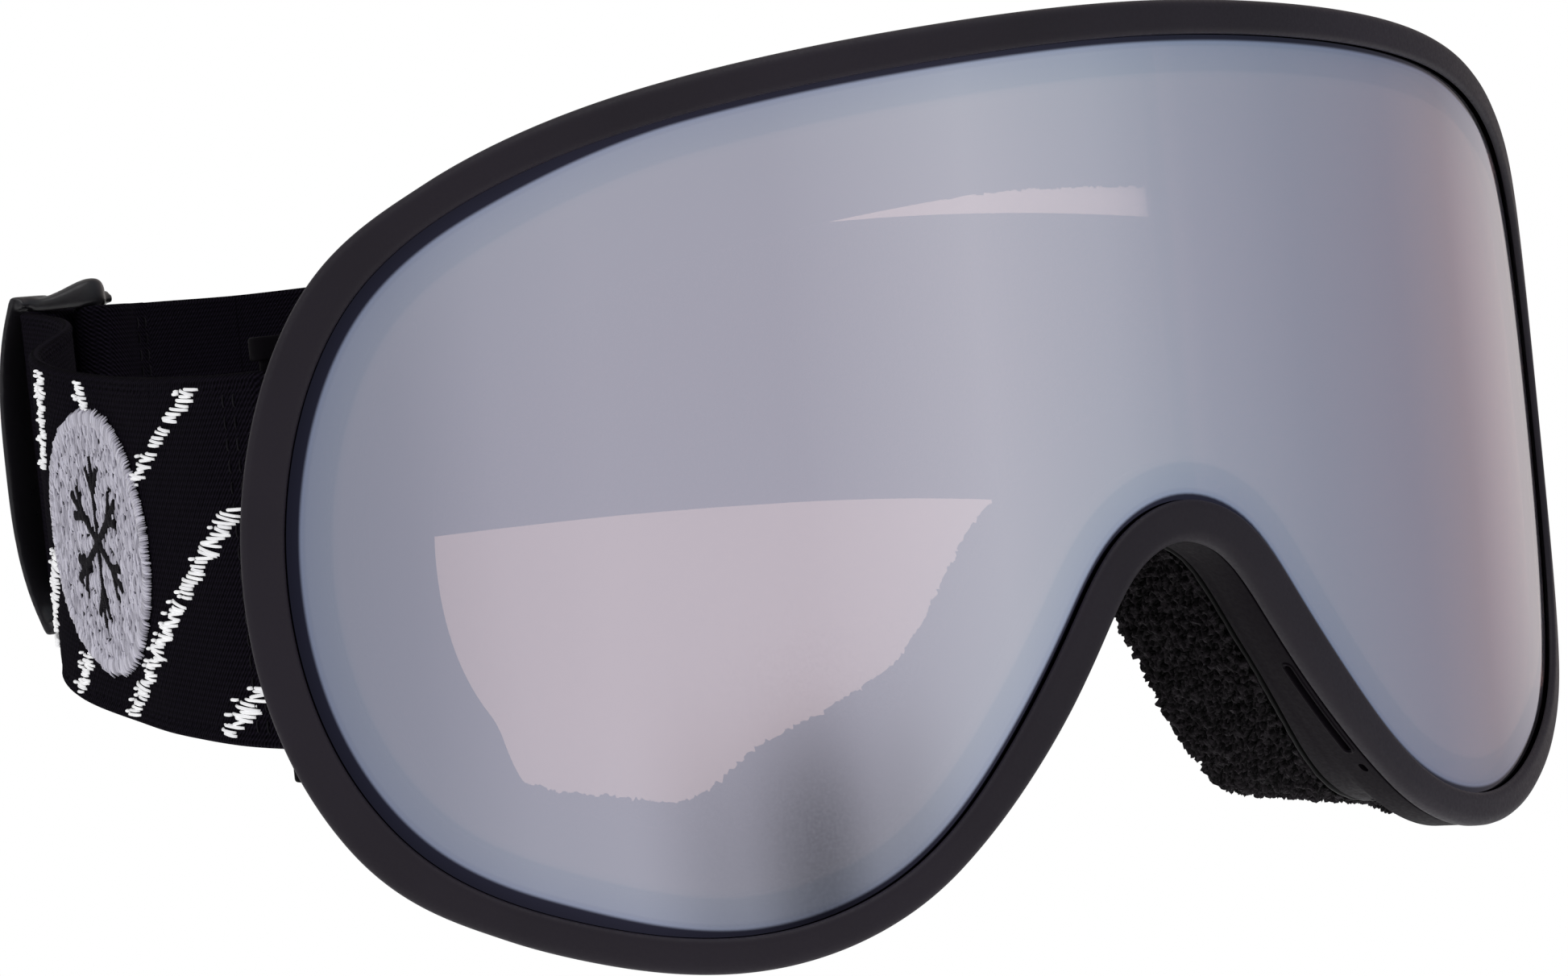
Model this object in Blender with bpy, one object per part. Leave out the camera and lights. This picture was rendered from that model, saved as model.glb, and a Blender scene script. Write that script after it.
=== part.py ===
"""Ski goggles: a one-piece soft frame with a cylindrical double lens, open-cell
face foam, and an elastic head strap that doubles back through a sliding
adjuster.

Frame: +Z up, the lens faces -Y, the wearer's right side is at -X, the strap
runs back along +Y.  The origin is the middle of the face seal, between the
wearer's eyes and 40 mm behind the front of the lens.
Lengths below are millimetres in design axes whose Y starts at the front of
the lens; place() turns them into metres about the origin.
"""
import math
import bpy
import bmesh
import numpy as np
from mathutils import Vector

for _o in list(bpy.data.objects):
    bpy.data.objects.remove(_o, do_unlink=True)

MM = 0.001
SEAL_Y = 40.0          # the origin lies this far behind the lens front
GAP = 0.3              # clearance between touching pieces

# ---- lens and frame --------------------------------------------------------
R_LENS = 129.0         # radius of the cylindrical lens, axis vertical
LENS_T = 1.0           # outer lens thickness
SPACER = (1.3, 3.8)    # depth range of the gasket between the lenses
INNER = (4.1, 4.9)     # depth range of the inner lens
RIM_PROUD = 1.0        # rim face stands this far in front of the lens
RIM_LEG = 1.0          # rim reaches this far behind the lens front
BODY_D = 1.3           # front of the frame body
STEP_D = 5.5           # rear of the lens seat in the frame body
WALL = 2.0
FLANGE_T = 1.2
BROW_IN, CHEEK_IN, TEMPLE_IN = -13.4, -9.4, -13.2   # inner edge of the flange and foam
ADH_T = 0.4            # double-sided film under the foam

# Visible edge of the lens, right half, unrolled: distance along the lens from
# the middle, and height.  Crown, temple corner, cheek lobe, nose notch.
HALF_OUTLINE = [(0, 42.2), (24, 41.2), (48, 38.6), (70, 33.2), (85.5, 23.6),
                (93, 9.5), (94.9, -5), (91.9, -20), (84, -31.4), (69.5, -39),
                (51.5, -42.1), (36.5, -37.8), (24.5, -27), (16, -16),
                (8.8, -7.6), (0, -4.6)]
N_RING = 80

# ---- strap -----------------------------------------------------------------
STRAP_H = 38.0
STRAP_T = 1.3
LAYER = 1.65           # centre spacing of the doubled strap
BAR_R = 1.6
BAR_S, BAR_D = 96.6, 10.9
PIVOT_Z = -1.2
JOIN_R = 21.0          # the strap leaves its anchor loops on this radius
SLIDER_POS = (-14.05, 202.0)
SLIDER_Z = 8.45
SLIDE_DIR = (0.8984, 0.4392)
SLIDE_TRAVEL = 22.0
STRAP_Z_BACK = 9.8


# ============================================================ curve helpers
def spline(points, n, closed):
    """C2 cubic spline through the points, resampled to n even steps."""
    p = np.array(points, float)
    q = np.vstack([p, p[:1]]) if closed else p
    h = np.sqrt((np.diff(q, axis=0) ** 2).sum(1))
    m = len(p)
    a = np.zeros((m, m))
    b = np.zeros(p.shape)
    for i in range(m):
        if not closed and i in (0, m - 1):
            a[i, i] = 1.0
            continue
        lo, hi = h[i - 1], h[i]
        a[i, i - 1] += lo
        a[i, i] += 2 * (lo + hi)
        a[i, (i + 1) % m] += hi
        b[i] = 6 * ((q[i + 1] - q[i]) / hi - (q[i] - p[i - 1]) / lo)
    c = np.linalg.solve(a, b)
    fine = []
    for i in range(len(q) - 1):
        t = np.linspace(0, 1, 40, endpoint=False)[:, None] * h[i]
        u = h[i] - t
        c0, c1 = c[i], c[(i + 1) % m]
        fine.append(c0 * u ** 3 / (6 * h[i]) + c1 * t ** 3 / (6 * h[i])
                    + (q[i] / h[i] - c0 * h[i] / 6) * u
                    + (q[i + 1] / h[i] - c1 * h[i] / 6) * t)
    fine = np.vstack(fine + [q[-1:]])
    return resample(fine, n, closed)


def resample(p, n, closed=False):
    s = np.concatenate([[0], np.cumsum(np.linalg.norm(np.diff(p, axis=0), axis=1))])
    t = np.linspace(0, s[-1], n, endpoint=not closed)
    return np.stack([np.interp(t, s, p[:, k]) for k in range(p.shape[1])], 1)


def smooth(x):
    x = min(1.0, max(0.0, x))
    return x * x * (3 - 2 * x)


def outline():
    pts = HALF_OUTLINE + [(-x, z) for x, z in HALF_OUTLINE[-2:0:-1]]
    return spline(pts, N_RING, True)


LOOP = outline()
_t = np.roll(LOOP, -1, 0) - np.roll(LOOP, 1, 0)
_t /= np.linalg.norm(_t, axis=1)[:, None]
NORM = np.stack([-_t[:, 1], _t[:, 0]], 1)          # outward of the lens
if (NORM[0] @ np.array([0, 1])) < 0:
    NORM = -NORM


def place(x, y, z):
    return Vector((x * MM, (y - SEAL_Y) * MM, z * MM))


def on_lens(s, z, d):
    """A point d behind the lens front, s along it, at height z."""
    a = s / R_LENS
    r = R_LENS - d
    return (r * math.sin(a), R_LENS - r * math.cos(a), z)


def weights(i):
    """How far a station is at the temple, and how far in the nose notch."""
    s, z = LOOP[i]
    side = smooth((abs(s) - 76.0) / 12.0)
    nose = smooth((33.0 - abs(s)) / 14.0) if z < 15 else 0.0
    return side, nose


def rim_width(i):
    side, nose = weights(i)
    return 4.25 + 0.85 * side + 0.65 * nose


def section(i):
    """Edge offsets and depths that vary round the frame."""
    side, nose = weights(i)
    w = rim_width(i)
    base = 9.0 + 2.0 * smooth((LOOP[i][1] + 12.0) / 24.0)
    depth = base + (17.0 - base) * side - 2.1 * nose
    # the wall draws in behind the lowest part of each cheek
    s, z = LOOP[i]
    tuck = 2.6 * math.exp(-((abs(s) - 45.0) / 7.5) ** 2) if z < 0 else 0.0
    wall = (w - 0.15) * (1 - side) - 3.2 * side - tuck
    return w, depth, wall


def inner_edge(i):
    """Offset of the inner edge of the foam flange from the lens outline."""
    side = weights(i)[0]
    up = smooth((LOOP[i][1] + 4.0) / 24.0)
    return (1 - side) * (CHEEK_IN + (BROW_IN - CHEEK_IN) * up) + TEMPLE_IN * side


def face_y(x):
    """The face side of the foam: shallow at the nose, deep at the temples."""
    return 24.3 + 33.7 * (abs(x) / 75.0) ** 2.2


# ============================================================ mesh helpers
def material(name, rgb, rough, metal=0.0):
    m = bpy.data.materials.get(name) or bpy.data.materials.new(name)
    m.use_nodes = True
    b = m.node_tree.nodes["Principled BSDF"]
    b.inputs["Base Color"].default_value = (*rgb, 1)
    b.inputs["Roughness"].default_value = rough
    b.inputs["Metallic"].default_value = metal
    m.diffuse_color = (*rgb, 1)
    return m


MIRROR = ("lens_mirror", (0.46, 0.46, 0.52), 0.06, 0.9)
CLEAR = ("inner_lens_clear", (0.75, 0.78, 0.80), 0.08, 0.0)
GASKET = ("gasket_foam", (0.05, 0.05, 0.06), 0.9, 0.0)
RIM = ("rim_matte", (0.026, 0.023, 0.029), 0.55, 0.0)
FRAME = ("frame_tpu", (0.020, 0.018, 0.022), 0.6, 0.0)
FOAM = ("face_foam", (0.010, 0.010, 0.011), 0.95, 0.0)
VENT = ("vent_foam", (0.018, 0.018, 0.020), 0.95, 0.0)
FILM = ("adhesive_film", (0.25, 0.25, 0.24), 0.25, 0.0)
WEB = ("strap_elastic", (0.010, 0.009, 0.014), 0.85, 0.0)
SLIDE = ("slider_black", (0.012, 0.012, 0.014), 0.35, 0.0)
THREAD = ("badge_thread", (0.40, 0.40, 0.44), 0.5, 0.0)


def make(name, bm, mat, angle=35.0):
    bmesh.ops.recalc_face_normals(bm, faces=bm.faces[:])
    if bm.calc_volume(signed=True) < 0:
        bmesh.ops.reverse_faces(bm, faces=bm.faces[:])
    me = bpy.data.meshes.new(name)
    bm.to_mesh(me)
    bm.free()
    ob = bpy.data.objects.new(name, me)
    bpy.context.scene.collection.objects.link(ob)
    if mat is not None:
        me.materials.append(material(*mat))
        me.shade_smooth()
        me.set_sharp_from_angle(angle=math.radians(angle))
    return ob


def ring(stations):
    """Closed loop of closed cross-sections, each a list of Vectors."""
    bm = bmesh.new()
    rows = [[bm.verts.new(v) for v in st] for st in stations]
    n, m = len(rows), len(rows[0])
    for i in range(n):
        for j in range(m):
            a, b = rows[i], rows[(i + 1) % n]
            p, q, r, t = a[j], a[(j + 1) % m], b[(j + 1) % m], b[j]
            # split along the shorter diagonal, so stacked rings twist alike
            if (p.co - r.co).length <= (q.co - t.co).length:
                bm.faces.new((p, q, r))
                bm.faces.new((p, r, t))
            else:
                bm.faces.new((p, q, t))
                bm.faces.new((q, r, t))
    return bm


def tube(stations):
    """Open run of closed cross-sections with flat ends."""
    bm = bmesh.new()
    rows = [[bm.verts.new(v) for v in st] for st in stations]
    m = len(rows[0])
    for a, b in zip(rows, rows[1:]):
        for j in range(m):
            bm.faces.new((a[j], a[(j + 1) % m], b[(j + 1) % m], b[j]))
    bm.faces.new(rows[0])
    bm.faces.new(list(reversed(rows[-1])))
    return bm


def lens_ring(profile):
    """Sweep profile(i) -> [(edge offset, depth)] round the outline."""
    st = []
    for i in range(N_RING):
        s, z = LOOP[i]
        ns, nz = NORM[i]
        st.append([place(*on_lens(s + e * ns, z + e * nz, d)) for e, d in profile(i)])
    return ring(st)


def lens_sheet(edge, d0, d1, rows):
    """A curved sheet filling the outline grown by edge, between two depths.
    Its columns stand on the stations of the lower edge, so it fits the frame."""
    p = LOOP + NORM * edge
    i0, i1 = int(np.argmin(p[:, 0])), int(np.argmax(p[:, 0]))
    a, b = sorted((i0, i1))
    c1 = p[a:b + 1]
    c2 = np.vstack([p[b:], p[:a + 1]])
    c1 = c1[np.argsort(c1[:, 0])]
    c2 = c2[np.argsort(c2[:, 0])]
    top, bot = (c1, c2) if c1[:, 1].mean() > c2[:, 1].mean() else (c2, c1)
    ss = [bot[0, 0]]
    for v in bot[1:-1, 0]:
        if v - ss[-1] > 0.5 and bot[-1, 0] - v > 0.5:
            ss.append(v)
    ss.append(bot[-1, 0])
    cols = len(ss) - 1
    bm = bmesh.new()
    faces = {}
    for key, d in ((0, d0), (1, d1)):
        grid = []
        for i in range(cols + 1):
            s = ss[i]
            zt = float(np.interp(s, top[:, 0], top[:, 1]))
            zb = float(np.interp(s, bot[:, 0], bot[:, 1]))
            if i in (0, cols):
                zm = (zt + zb) / 2
                v = bm.verts.new(place(*on_lens(s, zm, d)))
                grid.append([v] * (rows + 1))
            else:
                grid.append([bm.verts.new(place(*on_lens(s, zb + (zt - zb) * j / rows, d)))
                             for j in range(rows + 1)])
        faces[key] = grid

    def quad(*vs):
        u = []
        for v in vs:
            if v not in u:
                u.append(v)
        if len(u) > 2:
            bm.faces.new(u)
    for key in (0, 1):
        g = faces[key]
        for i in range(cols):
            for j in range(rows):
                quad(g[i][j], g[i + 1][j], g[i + 1][j + 1], g[i][j + 1])
    for j in (0, rows):
        for i in range(cols):
            quad(faces[0][i][j], faces[0][i + 1][j], faces[1][i + 1][j], faces[1][i][j])
    return bm


def cut(ob, cutter, op):
    cutter.hide_render = True
    cutter.display_type = 'WIRE'
    m = ob.modifiers.new("cut_" + cutter.name, 'BOOLEAN')
    m.operation = op
    m.object = cutter
    m.solver = 'EXACT'
    return m


def box_into(bm, corners):
    """Eight corners, bottom four then top four, into a shared cutter mesh."""
    v = [bm.verts.new(c) for c in corners]
    for f in ((0, 3, 2, 1), (4, 5, 6, 7), (0, 1, 5, 4), (1, 2, 6, 5), (2, 3, 7, 6), (3, 0, 4, 7)):
        bm.faces.new([v[k] for k in f])


def slot_box(bm, i_mid, length, e0, e1, d0, d1, steps=3):
    """A slot along the outline, bent to follow it, as one prism."""
    seg = []
    s_len = np.concatenate([[0], np.cumsum(np.linalg.norm(np.diff(np.vstack([LOOP, LOOP[:1]]), axis=0), axis=1))])
    total = s_len[-1]

    def at(arc):
        arc %= total
        k = int(np.searchsorted(s_len, arc, 'right') - 1) % N_RING
        f = (arc - s_len[k]) / (s_len[k + 1] - s_len[k])
        j = (k + 1) % N_RING
        n = NORM[k] * (1 - f) + NORM[j] * f
        return LOOP[k] * (1 - f) + LOOP[j] * f, n / np.linalg.norm(n)
    mid = s_len[i_mid] if isinstance(i_mid, (int, np.integer)) else i_mid
    rows = []
    for q in range(steps + 1):
        p, n = at(mid - length / 2 + length * q / steps)
        rows.append([bm.verts.new(place(*on_lens(p[0] + e * n[0], p[1] + e * n[1], d)))
                     for e, d in ((e0, d0), (e1, d0), (e1, d1), (e0, d1))])
    for a, b in zip(rows, rows[1:]):
        for j in range(4):
            bm.faces.new((a[j], a[(j + 1) % 4], b[(j + 1) % 4], b[j]))
    bm.faces.new(rows[0])
    bm.faces.new(list(reversed(rows[-1])))
    bmesh.ops.recalc_face_normals(bm, faces=bm.faces[:])


def arc_at(s_want, upper):
    """Arc length along the outline where it reaches s_want, above or below."""
    s_len = np.concatenate([[0], np.cumsum(np.linalg.norm(np.diff(np.vstack([LOOP, LOOP[:1]]), axis=0), axis=1))])
    best = min(range(N_RING), key=lambda k: abs(LOOP[k, 0] - s_want)
               + (0 if (LOOP[k, 1] > 0) == upper else 1000))
    k2 = best + 1 if abs(LOOP[(best + 1) % N_RING, 0] - s_want) < abs(LOOP[best - 1, 0] - s_want) else best - 1
    a, b = LOOP[best, 0], LOOP[k2 % N_RING, 0]
    f = (s_want - a) / (b - a) if abs(b - a) > 1e-6 else 0.0
    return s_len[best] + f * (s_len[k2 % N_RING] - s_len[best])


# ============================================================ lens stack
make("outer_lens", lens_sheet(2.9, 0.0, LENS_T, 4), MIRROR)
make("lens_spacer_gasket", lens_ring(lambda i: [(-0.4, SPACER[0]), (-0.4, SPACER[1]),
                                                (-3.2, SPACER[1]), (-3.2, SPACER[0])]), GASKET)
make("inner_lens", lens_sheet(-0.4, INNER[0], INNER[1], 3), CLEAR)


def rim_profile(i):
    w = rim_width(i)
    f = -RIM_PROUD
    return [(0.6, -GAP), (0.65, -0.7), (1.1, f), (w - 0.8, f), (w - 0.25, f + 0.2),
            (w, f + 0.75), (w, RIM_LEG), (3.2, RIM_LEG), (3.2, -GAP)]


make("front_rim", lens_ring(rim_profile), RIM, 25)


# ============================================================ frame body
def body_profile(i):
    w, depth, wall = section(i)
    side = weights(i)[0]
    o = w - 0.15
    inner = wall - WALL
    flange = inner_edge(i)
    return [(0.0, BODY_D), (o, BODY_D), (o, STEP_D - 0.4), (wall, STEP_D + 1.8 * side), (wall, depth),
            (flange, depth), (flange, depth - FLANGE_T), (inner, depth - FLANGE_T),
            (inner, STEP_D), (0.0, STEP_D - 0.3)]


body = make("frame_body", lens_ring(body_profile), FRAME, 25)

# Strap anchors: two arms and an upright bar on each side, moulded on the body.
anchor = bmesh.new()
for sgn in (-1, 1):
    for zc in (-1, 1):
        z0 = PIVOT_Z + zc * 20.0
        z1 = PIVOT_Z + zc * 22.4
        lo, hi = sorted((z0, z1))
        root = 80.8 if zc > 0 else 86.0        # buried in the slanting wall
        plan = [(root, 8.6), (97.6, 8.6), (98.9, 9.6), (99.3, 10.9), (98.9, 12.2), (97.6, 13.2), (root, 13.2)]
        rows = [[anchor.verts.new(place(*on_lens(sgn * s, z, d))) for s, d in plan] for z in (lo, hi)]
        n = len(plan)
        for j in range(n):
            anchor.faces.new((rows[0][j], rows[0][(j + 1) % n], rows[1][(j + 1) % n], rows[1][j]))
        anchor.faces.new(rows[0])
        anchor.faces.new(list(reversed(rows[1])))
arms = make("anchor_arms_tool", anchor, None)
bx, by, _ = on_lens(BAR_S, 0, BAR_D)
bars = bmesh.new()
for sgn in (-1, 1):
    st = []
    for z in (PIVOT_Z - 21.0, PIVOT_Z + 21.0):
        st.append([bars.verts.new(place(sgn * bx + BAR_R * math.cos(a), by + BAR_R * math.sin(a), z))
                   for a in [2 * math.pi * k / 16 for k in range(16)]])
    for j in range(16):
        bars.faces.new((st[0][j], st[0][(j + 1) % 16], st[1][(j + 1) % 16], st[1][j]))
    bars.faces.new(st[0])
    bars.faces.new(list(reversed(st[1])))
bars = make("anchor_bars_tool", bars, None)
cut(body, arms, 'UNION')
cut(body, bars, 'UNION')

# Vents: seven through the brow wall, three through each cheek lobe, and a
# shallow slot with a drain hole on each flank of the nose notch.
vents = bmesh.new()
for s in (-60, -40, -20, 0, 20, 40, 60):
    slot_box(vents, arc_at(s, True), 13.0, 1.2, 6.0, 6.2, 8.8)
for s in (42, 55, 68):
    for sgn in (-1, 1):
        slot_box(vents, arc_at(sgn * s, False), 8.0, -1.6, 6.0, 5.9, 7.4, 2)
for sgn in (-1, 1):
    slot_box(vents, arc_at(sgn * 24.4, False), 13.5, 3.4, 6.5, 2.0, 2.9, 3)
    slot_box(vents, arc_at(sgn * 30.8, False), 1.4, 3.2, 6.5, 2.1, 2.9, 1)
vents = make("vent_cutter", vents, None)
cut(body, vents, 'DIFFERENCE')


# ============================================================ vent filters
def filter_strip(s0, s1, upper, rear):
    """Thin open-cell strip glued inside the wall over a row of vents."""
    a0, a1 = arc_at(s0, upper), arc_at(s1, upper)
    total = float(np.linalg.norm(np.diff(np.vstack([LOOP, LOOP[:1]]), axis=0), axis=1).sum())
    if abs(a1 - a0) > total / 2:
        if a1 < a0:
            a1 += total
        else:
            a0 += total
    n = max(6, int(abs(a1 - a0) / 6))
    s_len = np.concatenate([[0], np.cumsum(np.linalg.norm(np.diff(np.vstack([LOOP, LOOP[:1]]), axis=0), axis=1))])
    st = []
    for q in range(n + 1):
        arc = (a0 + (a1 - a0) * q / n) % total
        k = int(np.searchsorted(s_len, arc, 'right') - 1) % N_RING
        f = (arc - s_len[k]) / (s_len[k + 1] - s_len[k])
        j = (k + 1) % N_RING
        p = LOOP[k] * (1 - f) + LOOP[j] * f
        nn = NORM[k] * (1 - f) + NORM[j] * f
        nn /= np.linalg.norm(nn)
        e1 = (section(k)[2] * (1 - f) + section(j)[2] * f) - WALL - GAP
        st.append([place(*on_lens(p[0] + e * nn[0], p[1] + e * nn[1], d))
                   for e, d in ((e1, STEP_D + 0.4), (e1, rear), (e1 - 2.0, rear), (e1 - 2.0, STEP_D + 0.4))])
    return tube(st)


make("brow_vent_foam", filter_strip(-68, 68, True, 9.4), VENT)
make("cheek_vent_foam_right", filter_strip(-73, -38, False, 7.5), VENT)
make("cheek_vent_foam_left", filter_strip(38, 73, False, 7.5), VENT)


# ============================================================ face seal
def adhesive_profile(i):
    w, depth, wall = section(i)
    a, b = depth + GAP, depth + GAP + ADH_T
    e = inner_edge(i) + 0.4
    return [(wall - 0.1, a), (wall - 0.1, b), (e, b), (e, a)]


make("foam_adhesive", lens_ring(adhesive_profile), FILM)

st = []
for i in range(N_RING):
    w, depth, wall = section(i)
    side, nose = weights(i)
    s, z = LOOP[i]
    ns, nz = NORM[i]
    d = depth + 2 * GAP + ADH_T
    fo = on_lens(s + wall * ns, z + wall * nz, d)
    e = inner_edge(i) + 0.3
    fi = on_lens(s + e * ns, z + e * nz, d)
    e += 4.5 * nose                # beside the nose the foam narrows as it goes back
    fn = on_lens(s + e * ns, z + e * nz, d)

    corner = smooth((abs(s) - 34.0) / 26.0) * smooth((abs(z) - 10.0) / 16.0)

    def rear(p, grow, back):
        x = p[0] * (1 + 0.035 * side * grow - 0.055 * corner)
        beside = 3.2 * math.exp(-((abs(x) - 29.0) / 14.0) ** 2) * smooth((-p[2] - 8.0) / 16.0)
        return (x, face_y(x) + beside - back, p[2] * (1 - 0.012 * (1 - nose) - 0.085 * corner))
    ro, ri = rear(fo, 1, 0), rear(fn, 0.6, 8.0 * nose)

    def mix(a, b, t):
        return tuple(a[k] * (1 - t) + b[k] * t for k in range(3))
    mo, mi = mix(fo, ro, 0.86), mix(fi, ri, 0.86)
    st.append([place(*fo), place(*fi), place(*mi), place(*mix(ro, ri, 0.86)),
               place(*mix(ro, ri, 0.14)), place(*mo)])
make("face_foam", ring(st), FOAM, 50)

# ============================================================ strap routes
BX, BY = bx, by
OUT = BAR_R + GAP + STRAP_T / 2                 # webbing centre round a bar
ux, uy = SLIDE_DIR
sx, sy = SLIDER_POS


def along(u, v=0.0):
    """Plan point u along the slider's run and v outward of the strap."""
    return (sx + u * ux - v * uy, sy + u * uy + v * ux)


NEAR = [(-BX - OUT, BY, -1.2), (-82.6, 50, -1.1), (-79.8, 65, -0.8), (-77.2, 75.7, -0.5),
        (-73.0, 90, 0.1), (-70.0, 101.9, 0.9), (-67.1, 112.7, 1.9), (-62.5, 124.4, 3.2),
        (-54.6, 137.2, 4.6), (-46.0, 147.9, 6.0), (-39.0, 158.5, 7.1), (-33.1, 170.1, 8.0),
        (-28.7, 182.2, 8.9), (-25.9, 191.6, 9.5)]
BACK = [(*along(u), STRAP_Z_BACK) for u in (-9.4, -4.5, 0, 12, 24, 36)]
FAR = [(29.5, 222.4, 10.0), (42, 222.5, 10.3), (53, 216.5, 10.6), (61.5, 206, 10.9), (67.3, 192, 11.2),
       (72, 174, 11.3), (75.8, 150, 11.1), (78.9, 122, 9.8), (81.2, 92, 6.8), (82.6, 65, 2.8),
       (BX + OUT, BY, -1.2)]
ROUTE = spline(NEAR + BACK + FAR, 900, False)


def offset_route(p, dist):
    t = np.gradient(p[:, :2], axis=0)
    t /= np.linalg.norm(t, axis=1)[:, None]
    q = p.copy()
    dd = np.asarray(dist).reshape(-1, 1) if np.ndim(dist) else dist
    q[:, :2] = p[:, :2] + np.stack([t[:, 1], -t[:, 0]], 1) * dd   # to the inside of the loop
    return q


def band(p, thick, height, step, rows=1):
    """Upright webbing along a plan route; p columns are x, y, z."""
    n = max(2, int(round(np.linalg.norm(np.diff(p, axis=0), axis=1).sum() / step)) + 1)
    p = resample(p, n)
    a, b = offset_route(p, thick / 2), offset_route(p, -thick / 2)
    st = []
    for k in range(n):
        zs = [p[k, 2] - height / 2 + height * j / rows for j in range(rows + 1)]
        st.append([place(a[k, 0], a[k, 1], z) for z in zs]
                  + [place(b[k, 0], b[k, 1], z) for z in reversed(zs)])
    return tube(st)


def joint_disc(name, radius, sgn):
    """Round cutter about the strap's tilt axis, on one side of the goggles."""
    st = []
    for x in (sgn * 60.0, sgn * 95.0):
        st.append([place(x, BY + radius * math.cos(a), PIVOT_Z + radius * math.sin(a))
                   for a in [2 * math.pi * k / 96 for k in range(96)]])
    return make(name, tube(st), None)


def bar_wrap(sgn, tail):
    """Route of a webbing end round an anchor bar: outer layer in, inner out."""
    outer = ROUTE[(ROUTE[:, 1] < BY + 24) & (ROUTE[:, 0] * sgn > 0)]
    outer = outer[np.argsort(-outer[:, 1])]
    pts = [tuple(q) for q in outer[::3]]
    if pts[-1][1] > BY + 0.5:
        pts.append((sgn * (BX + OUT), BY, PIVOT_Z))
    for k in range(1, 10):
        a = math.pi * k / 10
        pts.append((sgn * (BX + OUT * math.cos(a)), BY - OUT * math.sin(a), PIVOT_Z))
    for k in range(0, 13):
        y = BY + tail * k / 12
        q = outer[np.argmin(abs(outer[:, 1] - y))]
        g = LAYER + (2 * OUT - LAYER) * (1 - smooth((y - BY) / 15.0))
        pts.append((q[0] - sgn * g, y, PIVOT_Z + (q[2] - PIVOT_Z) * 0.5))
    return np.array(pts, float)


def route_between(p, lo, hi):
    s = np.concatenate([[0], np.cumsum(np.linalg.norm(np.diff(p, axis=0), axis=1))])
    return p[(s >= lo) & (s <= hi)]


S_ROUTE = np.concatenate([[0], np.cumsum(np.linalg.norm(np.diff(ROUTE, axis=0), axis=1))])


def station(u):
    """Arc length along the route of the point u along the slider's run."""
    x, y = along(u)
    return float(S_ROUTE[np.argmin((ROUTE[:, 0] - x) ** 2 + (ROUTE[:, 1] - y) ** 2)])


right_loop = make("strap_loop_right", band(bar_wrap(-1, 17.0), STRAP_T, STRAP_H, 2.2), WEB)
cut(right_loop, joint_disc("tab_disc_right", JOIN_R, -1), 'INTERSECT')
left_loop = make("strap_loop_left", band(bar_wrap(1, 24.0), STRAP_T, STRAP_H, 2.2), WEB)
cut(left_loop, joint_disc("tab_disc_left", JOIN_R, 1), 'INTERSECT')

keep = (S_ROUTE > 7.0) & (S_ROUTE < S_ROUTE[-1] - 7.0)
strap = make("strap_band", band(ROUTE[keep], STRAP_T, STRAP_H, 4.6, 2), WEB)
cut(strap, joint_disc("strap_disc_right", JOIN_R + GAP, -1), 'DIFFERENCE')
cut(strap, joint_disc("strap_disc_left", JOIN_R + GAP, 1), 'DIFFERENCE')

rest = S_ROUTE[-1] - S_ROUTE
spread = np.array([(2 * OUT - LAYER) * (1 - smooth(r / 15.0)) for r in rest])
INNER_ROUTE = offset_route(ROUTE, LAYER + spread)
s_end = station(9.0 + 5.0 + SLIDE_TRAVEL + 1.0)
keep = (S_ROUTE > s_end) & (S_ROUTE < S_ROUTE[-1] - 7.0)
ret = make("strap_return_layer", band(INNER_ROUTE[keep], STRAP_T, STRAP_H, 4.6, 1), WEB)
cut(ret, joint_disc("return_disc_left", JOIN_R + GAP, 1), 'DIFFERENCE')
s_sewn = station(14.0)
keep = (S_ROUTE > s_sewn + GAP) & (S_ROUTE < s_end - GAP)
make("strap_return_slack", band(INNER_ROUTE[keep], STRAP_T, STRAP_H, 6.0, 1), WEB)

# ============================================================ adjuster
SLOT_HALF = 20.7       # half height of the slots, clear of the webbing
RAIL = 1.3
HUMP = 2.1             # the end rails are deeper at the centre bar
BLADE = 4.2            # the outer bars are flat blades of this half width
PITCH = 7.0            # outer bars either side of the centre bar
V_IN = -3.75           # the centre bar lies inside the strap
V_OUT = 1.25           # the outer bars' ends lie just outside it
BOW = 3.4              # and arch outward in the middle


def rod(points, radii, sides=10):
    """A rod through points with per-point radii, upright section rings."""
    stn = []
    for (u, v, z), (ru, rv) in zip(points, radii):
        c = [2 * math.pi * k / sides for k in range(sides)]
        stn.append([place(*along(u + ru * math.cos(a), v + rv * math.sin(a)), z) for a in c])
    return tube(stn)


def rail(z0, z1):
    """End rail: a band that dips from the outer bars to the centre bar."""
    stn = []
    for k in range(17):
        t = -1 + 2 * k / 16
        u = (PITCH + 3.6) * t
        v = V_IN + (V_OUT - V_IN) * (0.5 - 0.5 * math.cos(math.pi * min(1.0, abs(t) * 1.1)))
        h = HUMP * (1 - t * t)
        lo, hi = (z0, z1 + h) if z0 > SLIDER_Z else (z0 - h, z1)
        stn.append([place(*along(u, v + a), z) for a, z in ((-1.25, lo), (1.25, lo), (1.25, hi), (-1.25, hi))])
    return tube(stn)


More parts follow.
